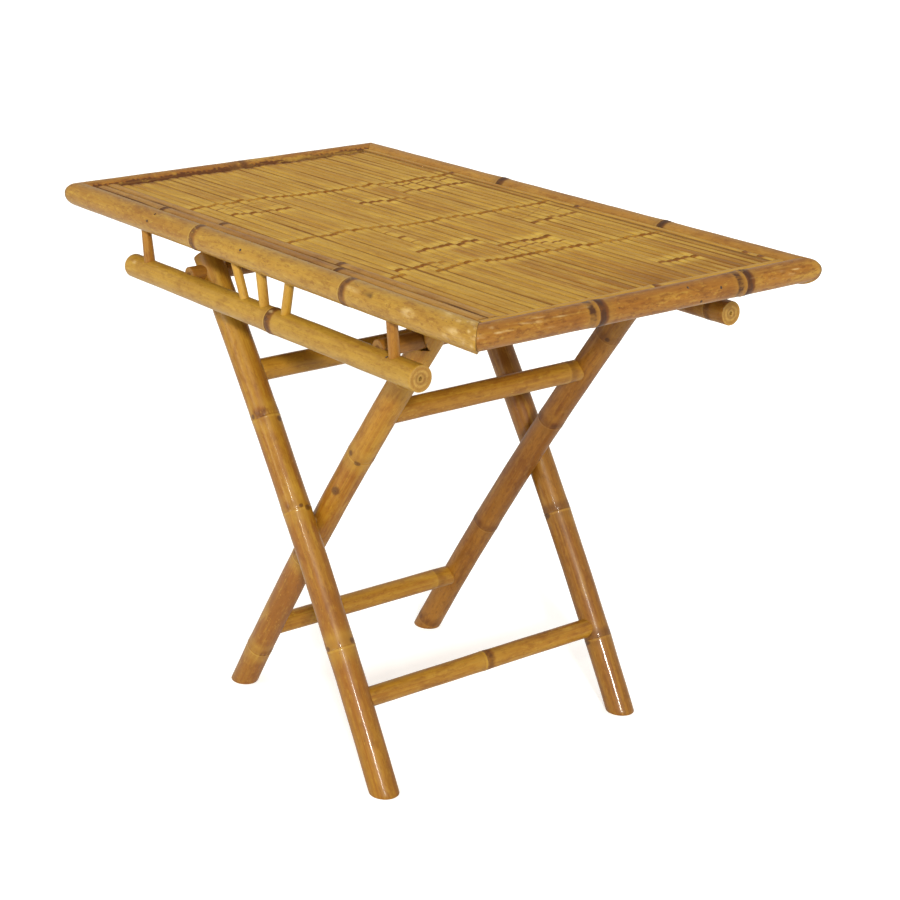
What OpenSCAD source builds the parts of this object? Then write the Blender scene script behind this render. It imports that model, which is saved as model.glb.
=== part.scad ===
// Bamboo folding table: a framed slatted top on two crossed leg frames.
// Origin: on the floor under the middle of the top. +X runs along the length
// of the top to the right, +Y across it to the back, +Z up. Millimetres.

/* [Table top] */
// Length of the top over the end culms
top_length = 1016; // [990:2:1060]
// Width of the top over the side culms
top_width = 570; // [566:2:600]
// Height of the top of the frame culms above the floor
top_height = 740; // [738:1:760]
// Diameter of the two long frame culms
long_d = 36; // [33:1:38]
// Diameter of the two short frame culms
short_d = 33; // [30:1:35]
// Drop of the slat surface below the top of the frame
slat_drop = 6; // [5:0.5:8]
// Number of slats across the top
slat_count = 33; // [25:1:35]
// Thickness of one slat
slat_thickness = 7; // [5:0.5:8]
// Gap between neighbouring slats
slat_gap = 0.6; // [0.4:0.1:1.2]
// Width of one of the two split strips along the front
strip_width = 17.6; // [14:0.2:18]

/* [Apron] */
// Diameter of the apron rail under each long side
rail_d = 35; // [32:1:36]
// Length of the back apron rail
rail_back_length = 744; // [700:2:780]
// Length of the front apron rail
rail_front_length = 712; // [700:2:740]
// How far the front apron rail sits to the right of the middle
rail_front_x = 8; // [0:1:12]
// Height of the apron rail centre line
rail_z = 640; // [634:1:646]
// Distance of the apron rail centre line from the middle of the table
rail_y = 258; // [258:1:262]
// Distance of the upright posts from the middle of the table
post_x = 303; // [280:1:330]
// Diameter of posts and fan struts
post_d = 13; // [10:0.5:15]

/* [Leg frames] */
// Diameter of the outer legs
outer_d = 41; // [38:1:42]
// Diameter of the inner legs
inner_d = 39; // [36:1:40]
// Distance of the outer leg centre line from the middle of the table
outer_y = 216; // [214:1:217]
// Foot of the outer legs, distance towards the right end
outer_foot_x = 219; // [205:1:235]
// Foot of the inner legs, distance towards the left end
inner_foot_x = 211; // [200:1:225]
// Natural bow of the outer legs
outer_bow = 14; // [6:1:18]
// Natural bow of the inner legs
inner_bow = 10; // [6:1:14]
// Axle bar position, distance towards the left end
axle_x = 192; // [185:1:200]
// Rest bar position, distance towards the right end
rest_x = 270; // [262:1:276]
// Height of the axle bar and rest bar centre lines
bar_z = 656; // [654:1:658]
// Diameter of the axle bar and of the rest bar
bar_d = 24; // [22:1:25]
// Height of the upper stretchers
upper_z = 528; // [515:1:540]
// Height of the lower stretchers
lower_z = 115; // [100:1:130]

/* [Hidden] */

$fn = 48;
butt_gap = 0.05;    // clearance between pieces that butt together
running_gap = 0.05; // radial clearance on the pivots
rail_bore_d = 9;
frame_bore_d = 2 * rail_bore_d;

half_length = top_length / 2;
half_width = top_width / 2;
long_y = half_width - long_d / 2;
long_z = top_height - long_d / 2;
short_x = half_length - short_d / 2;
short_z = top_height - short_d / 2;
inside_x = half_length - short_d; // inner face of the end culms
inside_y = half_width - long_d;   // inner face of the side culms

// ---- shared shapes; side is -1 for front or left, 1 for back or right ----
module along_x(d, length, y, z, x = 0)
  translate([x - length / 2, y, z]) rotate([0, 90, 0]) cylinder(d = d, h = length);
module along_y(d, length, x, z)
  translate([x, length / 2, z]) rotate([90, 0, 0]) cylinder(d = d, h = length);
module both_sides() {
  children();
  mirror([0, 1, 0]) children();
}

// Wire nail pointing down, top of the head at z = 0
nail_head = [4.4, 1]; // diameter, height
nail_shank_d = 2;
nail_overlap = 0.5;   // how far the shank runs up into the head
module nail(length) {
  translate([0, 0, -nail_head[1]]) cylinder(d = nail_head[0], h = nail_head[1]);
  translate([0, 0, -length]) cylinder(d = nail_shank_d, h = length - nail_overlap);
}

// ---- frame: four culms, mitred at the corners ----
mitre_gap = 0.03;          // cut back from the mitre plane on each culm
mitre_block = [80, 160, 120];
corner_nail_length = 30;
corner_nail_sink = 0.8;

module corner_nail_set()
  for (sx = [-1, 1], sy = [-1, 1])
    translate([sx * (half_length - corner_nail_sink), sy * long_y, short_z])
      rotate([0, sx * 90, 0]) nail(corner_nail_length);

// Block on one side of a corner's mitre plane, its near face shifted off the plane
module mitre_cut(sx, sy, shift)
  translate([sx * half_length, sy * half_width, top_height - mitre_block[2] / 2])
    rotate([0, 0, atan2(-sy, sx)])
      translate([shift, -mitre_block[1] / 2, 0]) cube(mitre_block);

module frame_long(side) difference() {
  along_x(long_d, top_length, side * long_y, long_z);
  along_x(frame_bore_d, top_length + 2, side * long_y, long_z);
  for (sx = [-1, 1]) mitre_cut(sx, side, -mitre_gap);
  corner_nail_set();
}
module frame_short(side) difference() {
  along_y(short_d, top_width, side * short_x, short_z);
  along_y(frame_bore_d, top_width + 2, side * short_x, short_z);
  for (sy = [-1, 1]) mitre_cut(side, sy, mitre_gap - mitre_block[0]);
  corner_nail_set();
}
module frame_culm_front() color("#c09c48") frame_long(-1);
module frame_culm_back() color("#b78f42") frame_long(1);
module frame_culm_left() color("#b07a30") frame_short(-1);
module frame_culm_right() color("#b07a30") frame_short(1);
module corner_nails() color("#4a4038") corner_nail_set();

// ---- slats and the edge strips around them ----
slat_z = top_height - slat_drop; // top surface of the slats
slat_bottom = slat_z - slat_thickness;
slats_left = -inside_x + 3;
slats_right = inside_x - 13.5;
slats_front = -inside_y + 2 * strip_width + 1.2;
slats_back = inside_y - 10.6;
slat_pitch = (slats_back - slats_front) / slat_count;
slat_sets = 5;
set_first = [for (k = [0:slat_sets]) round(k * slat_count / slat_sets)];
frame_gap = 0.1;       // between the frame and the pieces inside it
strip_gap = 0.4;       // between the two front strips
right_strip_gap = 0.3; // between the slat ends and the right strip
strip_rise = 1.5;      // edge strips stand this far above the slats
back_strip_inset = 10; // inner edge of the back strip from the frame
strip_height = slat_thickness + strip_rise;
front_strip_y = -inside_y + frame_gap;
second_strip_y = front_strip_y + strip_width + strip_gap;

module strip_x(y0, y1)
  translate([slats_left, y0, slat_bottom])
    cube([slats_right - slats_left, y1 - y0, strip_height]);
module edge_strip_front_outer()
  color("#a88850") strip_x(front_strip_y, front_strip_y + strip_width);
module edge_strip_front_inner()
  color("#ad8c50") strip_x(second_strip_y, second_strip_y + strip_width);
module edge_strip_back()
  color("#b08c48") strip_x(inside_y - back_strip_inset, inside_y - frame_gap);
module edge_strip_right() {
  x0 = slats_right + right_strip_gap;
  color("#c8a050") translate([x0, front_strip_y, slat_bottom])
    cube([inside_x - frame_gap - x0, 2 * (inside_y - frame_gap), strip_height]);
}

// Slats are split into sets, counted from the front
module slat_set(k) color("#b8974e")
  for (i = [set_first[k - 1]:set_first[k] - 1])
    translate([slats_left, slats_front + i * slat_pitch + slat_gap / 2, slat_bottom])
      cube([slats_right - slats_left, slat_pitch - slat_gap, slat_thickness]);
module slat_set_1() slat_set(1);
module slat_set_2() slat_set(2);
module slat_set_3() slat_set(3);
module slat_set_4() slat_set(4);
module slat_set_5() slat_set(5);

// ---- rounded battens under the slats, flat side up, counted from the left ----
batten_height = 12;
batten_width = 28;
batten_round_d = batten_width + 4;
batten_round_rise = 4.5; // centre of the rounding above the flat side
batten_inset = 18;       // end battens from the inner face of the end culms
batten_pitch = 2 * (inside_x - batten_inset) / 3;

module batten(k) {
  x = -inside_x + batten_inset + (k - 1) * batten_pitch;
  color("#a5803c") intersection() {
    along_y(batten_round_d, 2 * (inside_y - frame_gap), x, slat_bottom + batten_round_rise);
    translate([x - batten_width / 2, -inside_y, slat_bottom - batten_height])
      cube([batten_width, 2 * inside_y, batten_height]);
  }
}
module support_batten_1() batten(1);
module support_batten_2() batten(2);
module support_batten_3() batten(3);
module support_batten_4() batten(4);

// ---- cross bars let into the apron rails ----
bar_end_inset = 2; // bar ends stop short of the rail centre lines

module cross_bar(x) along_y(bar_d, 2 * (rail_y - bar_end_inset), x, bar_z);
module axle_bar() color("#a8742e") cross_bar(-axle_x);
module rest_bar() color("#a8742e") cross_bar(rest_x);

// ---- apron: rail, two posts and a fan of three struts on each side ----
module apron_rail(side, length, x = 0) difference() {
  along_x(rail_d, length, side * rail_y, rail_z, x);
  along_x(rail_bore_d, length + 20, side * rail_y, rail_z, x);
  cross_bar(-axle_x);
  cross_bar(rest_x);
}
module apron_rail_front() color("#b5893c") apron_rail(-1, rail_front_length, rail_front_x);
module apron_rail_back() color("#b5893c") apron_rail(1, rail_back_length);

// Struts as seen on the front: x at the rail, x at the frame culm, diameter.
// The back has the same five with x negated, so left and right swap.
post_left = [-post_x + 4, -post_x + 10, post_d];
post_right = [post_x + 8, post_x + 12, post_d + 2];
fan_left = [-34, -54, post_d - 1];
fan_middle = [12, 15, post_d];
fan_right = [58, 92, post_d - 1];

module strut(side, shape) {
  bottom = [-side * shape[0], side * rail_y, rail_z];
  top = [-side * shape[1], side * long_y, long_z];
  span = top - bottom;
  length = norm(span);
  difference() {
    translate(bottom) rotate([0, acos(span[2] / length), atan2(span[1], span[0])])
      cylinder(d = shape[2], h = length);
    along_x(rail_d + 2 * butt_gap, rail_back_length + 40, side * rail_y, rail_z);
    along_x(long_d + 2 * butt_gap, top_length + 40, side * long_y, long_z);
  }
}
module apron_post_front_left() color("#b07c34") strut(-1, post_left);
module apron_post_front_right() color("#b07c34") strut(-1, post_right);
module apron_post_back_left() color("#b07c34") strut(1, post_right);
module apron_post_back_right() color("#b07c34") strut(1, post_left);
module fan_strut_front_left() color("#c09846") strut(-1, fan_left);
module fan_strut_front_middle() color("#c09846") strut(-1, fan_middle);
module fan_strut_front_right() color("#c09846") strut(-1, fan_right);
module fan_strut_back_left() color("#c09846") strut(1, fan_right);
module fan_strut_back_middle() color("#c09846") strut(1, fan_middle);
module fan_strut_back_right() color("#c09846") strut(1, fan_left);

// ---- leg centre lines: circular arcs in the XZ plane, points are [x, z] ----
leg_gap = 1; // between an outer leg and the inner leg beside it
inner_y = outer_y - outer_d / 2 - leg_gap - inner_d / 2;
outer_foot = [outer_foot_x, 0];
outer_top = [-axle_x, bar_z];
inner_foot = [-inner_foot_x, 0];
inner_top = [rest_x, bar_z];

// An arc runs from start to end, turning from +X towards +Z about its centre
function arc_radius(start, end, bow) =
  let (chord = norm(end - start)) (chord * chord / 4 + bow * bow) / (2 * bow);
function arc_centre(start, end, bow) =
  let (bow_side = [end[1] - start[1], start[0] - end[0]] / norm(end - start))
    (start + end) / 2 - (arc_radius(start, end, bow) - bow) * bow_side;
function angle_at(centre, point) = atan2(point[1] - centre[1], point[0] - centre[0]);
function arc_degrees(length, radius) = length / radius * 180 / PI;

outer_radius = arc_radius(outer_foot, outer_top, outer_bow);
outer_centre = arc_centre(outer_foot, outer_top, outer_bow);
inner_radius = arc_radius(inner_top, inner_foot, inner_bow);
inner_centre = arc_centre(inner_top, inner_foot, inner_bow);

// x of a leg centre line at height z
function outer_x(z) =
  outer_centre[0] + sqrt(outer_radius * outer_radius - pow(z - outer_centre[1], 2));
function inner_x(z) =
  inner_centre[0] - sqrt(inner_radius * inner_radius - pow(z - inner_centre[1], 2));
// tilt about Y that lays a vertical rod along a leg at height z
function outer_lean(z) = -angle_at(outer_centre, [outer_x(z), z]);
function inner_lean(z) = 180 - angle_at(inner_centre, [inner_x(z), z]);

// crossing of the two centre lines, where the pivot pins go
centre_distance = norm(inner_centre - outer_centre);
centre_line = (inner_centre - outer_centre) / centre_distance;
cross_along = (outer_radius * outer_radius - inner_radius * inner_radius
  + centre_distance * centre_distance) / (2 * centre_distance);
cross_aside = sqrt(outer_radius * outer_radius - cross_along * cross_along);
crossing = outer_centre + cross_along * centre_line
  + cross_aside * [-centre_line[1], centre_line[0]];

// ---- legs: the front leg is built and mirrored for the back ----
foot_extra = 45;      // arc length past the foot, trimmed at the floor
outer_top_extra = 27; // arc length past the axle bar
inner_top_extra = 25; // arc length past the rest bar
outer_foot_bore_d = 22;
inner_foot_bore_d = 20;
notch_gap = 0.6;      // around the rest bar
notch_reach = 90;     // to the left of the rest bar
leg_nail_length = 60;
leg_nail_sink = 0.6;
pin_d = 12;
pin_into_inner = 8;   // pin past the inner leg centre line
pin_into_outer = 9;   // pin past the outer leg centre line
pin_hole_extra = 1;   // hole past the inner end of the pin

module leg_arc(centre, radius, start, end, start_extra, end_extra, y, d) {
  angle0 = angle_at(centre, start) - arc_degrees(start_extra, radius);
  angle1 = angle_at(centre, end) + arc_degrees(end_extra, radius);
  translate([centre[0], y, centre[1]]) rotate([90, 0, 0]) rotate([0, 0, angle0])
    rotate_extrude(angle = angle1 - angle0, $fn = 720)
      translate([radius, 0]) circle(d = d, $fn = 48);
}
// Straight rod on the tangent of a leg, starting the given length below the point
module leaning_rod(x, y, z, lean, d, below)
  translate([x, y, z]) rotate([0, lean, 0]) translate([0, 0, -below]) cylinder(d = d, h = 120);
module foot_bore(x, y, lean, d) leaning_rod(x, y, 0, lean, d, below = 40);
module below_floor() translate([-500, -400, -100]) cube([1000, 800, 100]);

module leg_nails(x, y, z, leg_d) both_sides()
  translate([x, -y - leg_d / 2 + leg_nail_sink, z]) rotate([90, 0, 0]) nail(leg_nail_length);
module outer_nails()
  for (z = [upper_z, lower_z]) leg_nails(outer_x(z), outer_y, z, outer_d);
module inner_nails()
  for (z = [upper_z, lower_z]) leg_nails(inner_x(z), inner_y, z, inner_d);

module pin_holes(d) both_sides()
  translate([crossing[0], -inner_y + pin_into_inner + pin_hole_extra, crossing[1]])
    rotate([90, 0, 0])
      cylinder(d = d, h = outer_y - inner_y + pin_into_inner + pin_into_outer + pin_hole_extra);

module outer_leg() difference() {
  leg_arc(outer_centre, outer_radius, outer_foot, outer_top,
    foot_extra, outer_top_extra, -outer_y, outer_d);
  below_floor();
  foot_bore(outer_x(0), -outer_y, outer_lean(0), outer_foot_bore_d);
  along_y(bar_d + 2 * running_gap, 600, -axle_x, bar_z);
  pin_holes(pin_d);
  outer_nails();
}
module inner_leg() difference() {
  leg_arc(inner_centre, inner_radius, inner_top, inner_foot,
    inner_top_extra, foot_extra, -inner_y, inner_d);
  below_floor();
  foot_bore(inner_x(0), -inner_y, inner_lean(0), inner_foot_bore_d);
  pin_holes(pin_d + 2 * running_gap);
  // notch for the rest bar: level ledge under it, upright wall on its right
  translate([rest_x - notch_reach, -400, bar_z - bar_d / 2 - notch_gap])
    cube([notch_reach + bar_d / 2 + notch_gap, 800, 120]);
  inner_nails();
}
module outer_leg_front() color("#b08038") outer_leg();
module outer_leg_back() color("#a87432") mirror([0, 1, 0]) outer_leg();
module inner_leg_front() color("#aa7a34") inner_leg();
module inner_leg_back() color("#a47030") mirror([0, 1, 0]) inner_leg();

module pivot_pin(side)
  translate([crossing[0], side * (inner_y - pin_into_inner), crossing[1]])
    rotate([-side * 90, 0, 0])
      cylinder(d = pin_d, h = outer_y - inner_y + pin_into_inner + pin_into_outer);
module pivot_pin_front() color("#8a6a3a") pivot_pin(-1);
module pivot_pin_back() color("#8a6a3a") pivot_pin(1);

// ---- stretchers: ends coped to the legs and nailed through them ----
module stretcher(x, y, z, lean, leg_d, d) difference() {
  along_y(d, 2 * y, x, z);
  for (side = [-1, 1])
    leaning_rod(x, side * y, z, lean, leg_d + 2 * butt_gap, below = 60);
  leg_nails(x, y, z, leg_d);
}
module outer_stretcher(z, d)
  color("#b5863a") stretcher(outer_x(z), outer_y, z, outer_lean(z), outer_d, d);
module inner_stretcher(z, d)
  color("#b5863a") stretcher(inner_x(z), inner_y, z, inner_lean(z), inner_d, d);
module outer_stretcher_upper() outer_stretcher(upper_z, d = 32);
module outer_stretcher_lower() outer_stretcher(lower_z, d = 29);
module inner_stretcher_upper() inner_stretcher(upper_z, d = 31);
module inner_stretcher_lower() inner_stretcher(lower_z, d = 31);
module outer_stretcher_nails() color("#4a4038") outer_nails();
module inner_stretcher_nails() color("#4a4038") inner_nails();

frame_culm_front();
frame_culm_back();
frame_culm_left();
frame_culm_right();
edge_strip_front_outer();
edge_strip_front_inner();
edge_strip_back();
edge_strip_right();
slat_set_1();
slat_set_2();
slat_set_3();
slat_set_4();
slat_set_5();
support_batten_1();
support_batten_2();
support_batten_3();
support_batten_4();
apron_rail_front();
apron_rail_back();
apron_post_front_left();
apron_post_front_right();
apron_post_back_left();
apron_post_back_right();
fan_strut_front_left();
fan_strut_front_middle();
fan_strut_front_right();
fan_strut_back_left();
fan_strut_back_middle();
fan_strut_back_right();
axle_bar();
rest_bar();
corner_nails();
outer_leg_front();
outer_leg_back();
outer_stretcher_upper();
outer_stretcher_lower();
outer_stretcher_nails();
pivot_pin_front();
pivot_pin_back();
inner_leg_front();
inner_leg_back();
inner_stretcher_upper();
inner_stretcher_lower();
inner_stretcher_nails();
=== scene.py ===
"""Bamboo table: a slatted top framed by four mitred culms, on two crossed leg frames.

The length lies along X, the width along Y (front is -Y), and the feet stand on z = 0.
Sizes are in mm and become metres through MM when vertices are made; distances along a
centre line, called s, are in metres.
"""
import bpy
import bmesh
import math
import random
from collections import namedtuple
import numpy as np
from mathutils import Vector, Matrix


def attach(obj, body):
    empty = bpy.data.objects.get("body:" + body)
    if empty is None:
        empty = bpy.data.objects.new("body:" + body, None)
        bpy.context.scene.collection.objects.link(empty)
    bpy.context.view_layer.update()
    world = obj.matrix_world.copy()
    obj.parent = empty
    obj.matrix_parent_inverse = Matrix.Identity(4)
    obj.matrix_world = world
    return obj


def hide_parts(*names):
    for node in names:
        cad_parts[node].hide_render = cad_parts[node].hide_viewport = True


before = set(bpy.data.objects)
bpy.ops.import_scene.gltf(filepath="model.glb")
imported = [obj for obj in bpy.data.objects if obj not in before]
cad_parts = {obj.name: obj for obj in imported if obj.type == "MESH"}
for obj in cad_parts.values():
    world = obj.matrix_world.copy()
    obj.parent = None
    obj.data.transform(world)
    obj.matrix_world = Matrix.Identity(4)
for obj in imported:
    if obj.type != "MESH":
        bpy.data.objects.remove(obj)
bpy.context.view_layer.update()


MM = 0.001
PI = math.pi
DEG = PI / 180

# ---------------------------------------------------------------- driving dimensions (mm)
HALF_LENGTH, HALF_WIDTH, TOP = 508.0, 285.0, 740.0
LONG_RADIUS, SHORT_RADIUS = 18.0, 16.5          # nominal radii of the frame culms
LONG_Y, LONG_Z = HALF_WIDTH - LONG_RADIUS, TOP - LONG_RADIUS
SHORT_X, SHORT_Z = HALF_LENGTH - SHORT_RADIUS, TOP - SHORT_RADIUS
SLAT_TOP, SLAT_THICKNESS = 734.0, 7.0
SLAT_BOTTOM = SLAT_TOP - SLAT_THICKNESS
SLAT_X0, SLAT_X1 = -472.0, 461.5                # field filled by the slats
SLAT_Y0, SLAT_Y1 = -212.6, 238.4
FIRST_SLAT = [0, 7, 13, 20, 26, 33]             # first slat of each set, then the total
SLAT_PITCH = (SLAT_Y1 - SLAT_Y0) / FIRST_SLAT[-1]
INSIDE_Y = 248.7                                # edge strips and battens stop here
RAIL_HALF, RAIL_Y, RAIL_Z = 372.0, 258, 640
BAR_HALF, BAR_Z = 255.8, 656
AXLE_X, REST_X = -192, 270                      # axle bar and rest bar, at the leg tops
OUTER_Y, INNER_Y = 216, 175                     # leg planes
OUTER_LEG = dict(foot=(219, 0), top=(AXLE_X, BAR_Z), bow=14, side=1, past=27)
INNER_LEG = dict(foot=(-211, 0), top=(REST_X, BAR_Z), bow=10, side=-1, past=25)
SIDES = (("front", -1), ("back", 1))


def vector(*values):
    return np.array(values, float)


# ---------------------------------------------------------------- centre lines
class Line:
    """Straight centre line. Angle 0 around it points up, or to -Y if it is steep."""

    def __init__(self, start, end):
        self.start = np.array(start, float) * MM
        span = np.array(end, float) * MM - self.start
        self.length = float(np.linalg.norm(span))
        self.along = span / self.length
        up = vector(0, 0, 1) if abs(self.along[2]) < 0.85 else vector(0, -1, 0)
        up = up - self.along * (up @ self.along)
        self.up = up / np.linalg.norm(up)
        self.across = np.cross(self.along, self.up)

    def frame(self, s):
        """Centre, direction, and the axes of angle 0 and 90 degrees."""
        s = np.asarray(s, float)[..., None]
        one = np.ones_like(s)
        return self.start + s * self.along, self.along * one, self.up * one, self.across * one

    def project(self, points):
        offset = points - self.start
        return offset @ self.along, offset @ self.up, offset @ self.across


class Arc:
    """Bowed centre line in an XZ plane, from foot to top and a little past it.
    It bows towards +X for side 1 and towards -X for side -1."""

    def __init__(self, foot, top, bow, side, past, y):
        foot, top = np.array(foot, float) * MM, np.array(top, float) * MM
        bow *= MM
        chord = np.linalg.norm(top - foot)
        outward = side * vector(top[1] - foot[1], foot[0] - top[0]) / chord
        self.radius = (chord * chord / 4 + bow * bow) / (2 * bow)
        self.centre = (foot + top) / 2 - (self.radius - bow) * outward
        self.y = y * MM
        first, last = self.angle_of(foot, side), self.angle_of(top, side)
        self.turn = 1.0 if last > first else -1.0
        self.first = first
        self.length = abs(last - first) * self.radius + past * MM

    def angle_of(self, point, side):
        angle = math.atan2(point[1] - self.centre[1], point[0] - self.centre[0])
        return angle + 2 * PI if angle < 0 and side < 0 else angle

    def frame(self, s):
        s = np.asarray(s, float)
        angle = self.first + self.turn * s / self.radius
        ca, sa, zero = np.cos(angle), np.sin(angle), np.zeros_like(angle)
        centre = np.stack([self.centre[0] + self.radius * ca, self.y + zero,
                           self.centre[1] + self.radius * sa], -1)
        along = self.turn * np.stack([-sa, zero, ca], -1)
        outward = np.stack([ca, zero, sa], -1)
        return centre, along, outward, np.cross(along, outward)

    def project(self, points):
        x, z = points[:, 0] - self.centre[0], points[:, 2] - self.centre[1]
        angle = np.arctan2(z, x)
        angle = np.where(angle - self.first < -PI, angle + 2 * PI, angle)
        angle = np.where(angle - self.first > PI, angle - 2 * PI, angle)
        return (self.turn * (angle - self.first) * self.radius, np.hypot(x, z) - self.radius,
                (points[:, 1] - self.y) * self.turn)

    def at_z(self, z):
        """Arc length where the centre line passes height z (mm)."""
        s = np.linspace(0, self.length, 4001)
        return float(s[np.argmin(np.abs(self.frame(s)[0][:, 2] - z * MM))])


# ---------------------------------------------------------------- culm shape
def spot(s, angle, at, at_angle, length, width):
    """Soft round spot on a culm: length in mm, width in radians."""
    turn = (angle - at_angle + PI) % (2 * PI) - PI
    return np.exp(-((s - at) / (length * MM)) ** 2 - (turn / width) ** 2)


class Shape:
    """Radius of a culm at (s, angle): taper, slight ovality, node rings, branch scars.
    rings: (s, strength); scars: (s, angle, height, length, width); glints: painted highlights,
    spots like scars but without height, which only lighten the skin."""

    def __init__(self, length, radii, seed, ridge, swell, rings=(), scars=(), glints=(),
                 oval=0.012, lump=1.0):
        self.length = length
        self.r0, self.r1 = radii[0] * MM, radii[1] * MM
        self.rings, self.scars, self.glints = rings, scars, glints
        self.ridge, self.swell, self.oval, self.lump = ridge, swell, oval, lump
        rng = random.Random(seed)
        self.phase = [rng.uniform(0, 6.28) for _ in range(12)]
        self.wobble = [(rng.uniform(0.3, 0.9) * MM, rng.uniform(0, 6.28)) for _ in rings]

    def near(self, s, angle):
        """Signed distance (m) past the nearest node ring, and that ring's strength."""
        best = np.full(np.broadcast(s, angle).shape, 9.0)
        strengths = np.ones_like(best)
        for (at, strength), (size, turn) in zip(self.rings, self.wobble):
            d = s - at - size * np.cos(angle - turn) - 0.35 * size * np.cos(3 * angle + turn)
            closer = np.abs(d) < np.abs(best)
            best = np.where(closer, d, best)
            strengths = np.where(closer, strength, strengths)
        return best, strengths

    def strongest(self, s, angle, spots):
        out = np.zeros(np.broadcast(s, angle).shape)
        for entry in spots:
            out = np.maximum(out, spot(s, angle, *entry))
        return out

    def scar(self, s, angle):
        return self.strongest(s, angle, [(a, b, d, e) for a, b, _, d, e in self.scars])

    # strength of the painted highlight spots
    def glint(self, s, angle):
        return self.strongest(s, angle, self.glints)

    def __call__(self, s, angle):
        r = self.r0 + (self.r1 - self.r0) * np.clip(s / self.length, 0, 1)
        p, lump = self.phase, self.lump
        r = r * (1 + self.oval * np.cos(2 * (angle - p[0]))
                 + lump * 0.006 * np.sin(s * 31 + p[1]) * np.cos(angle - p[2])
                 + lump * 0.005 * np.sin(s * 67 + p[3] + 2 * np.cos(angle - p[4]))
                 + lump * 0.004 * np.cos(3 * angle + p[5] + s * 9))
        d, strength = self.near(s, angle)
        d = d / MM
        ridge = self.ridge * MM * strength
        r = r + ridge * (0.95 * np.exp(-(d / 1.1) ** 2) - 0.35 * np.exp(-((d - 2.3) / 1.0) ** 2)
                         + 0.6 * np.exp(-((d - 6.0) / 3.2) ** 2))
        r = r + self.swell * MM * strength * 0.45 * np.exp(-(d / 16.0) ** 2)
        for at, at_angle, height, length, width in self.scars:
            r = r + height * MM * spot(s, angle, at, at_angle, length, width)
        return r


# ---------------------------------------------------------------- meshes
def write_attributes(mesh, attributes):
    for name, values in attributes.items():
        values = np.asarray(values, np.float32)
        flat = values.ndim == 1
        kind = "FLOAT" if flat else "FLOAT_VECTOR"
        layer = mesh.attributes.get(name) or mesh.attributes.new(name, kind, "POINT")
        layer.data.foreach_set("value" if flat else "vector", values.ravel())
    mesh.update()


def link(name, data):
    ob = bpy.data.objects.new(name, data)
    bpy.context.scene.collection.objects.link(ob)
    return ob


def add_mesh(name, verts, faces, materials, material_index=None, attributes=None):
    mesh = bpy.data.meshes.new(name)
    mesh.from_pydata([tuple(v) for v in verts], [], faces)
    for material in materials:
        mesh.materials.append(material)
    if material_index is not None:
        mesh.polygons.foreach_set("material_index", np.array(material_index, np.int32))
    mesh.polygons.foreach_set("use_smooth", np.full(len(faces), True))
    write_attributes(mesh, attributes or {})
    bm = bmesh.new()
    bm.from_mesh(mesh)
    bmesh.ops.recalc_face_normals(bm, faces=bm.faces)
    bm.to_mesh(mesh)
    bm.free()
    return link(name, mesh)


def place(ob, body, node=None):
    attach(ob, body)
    if node:
        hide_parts(node)


def thin_out(values, gap):
    """Sorted values with those closer than gap to the one before left out."""
    kept = [values[0]]
    for x in values[1:]:
        if x - kept[-1] > gap:
            kept.append(x)
    kept[-1] = values[-1]
    return np.array(kept)


# Cross sections around a node ring (mm)
CULM_RING_OFFSETS = (-14, -9, -6.5, -5, -3.8, -2.9, -2.2, -1.6, -1.1, -0.6, 0, 0.6, 1.1, 1.7,
                     2.3, 3.0, 3.7, 4.4, 5.2, 6.1, 7.2, 8.6, 11, 15)
STRIP_RING_OFFSETS = (-12, -8, -5.5, -4.2, -3.2, -2.4, -1.6, -0.9, -0.3, 0.3, 0.9, 1.6, 2.4,
                      3.2, 4.2, 5.4, 7, 8.6, 11, 14)


def stations(start, end, rings, step):
    """Where the cross sections lie: closer near the ends and around the rings."""
    s = [start, end]
    s += list(np.arange(start, end, step * MM))
    s += list(np.arange(start, min(start + 48 * MM, end), 5 * MM))
    s += list(np.arange(end, max(end - 48 * MM, start), -5 * MM))
    for at, _ in rings:
        s += [at + offset * MM for offset in CULM_RING_OFFSETS]
    inside = (start + 1.3 * MM, end - 1.3 * MM)
    s = sorted(x for x in s if inside[0] < x < inside[1] or x in (start, end))
    return thin_out(s, 0.35 * MM)


# ---------------------------------------------------------------- culms
# Culm end: bevel, bore radius and bore depth (mm); cut by a plane (m) or left square.
End = namedtuple("End", "bevel bore depth point normal", defaults=(None,) * 4)


def surface(curve, s, radius, angles):
    centre, along, up, across = curve.frame(s)
    around = np.cos(angles)[:, None] * up + np.sin(angles)[:, None] * across
    return centre + radius[..., None] * around, along


def meet(curve, end, s_end, radius, angles):
    """s at every angle where the given radius meets the end plane."""
    s = np.full(len(angles), s_end)
    if end.normal is None:
        return s
    for _ in range(7):
        points, along = surface(curve, s, radius, angles)
        s = s - ((points - end.point) @ end.normal) / (along @ end.normal)
    return s


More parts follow.
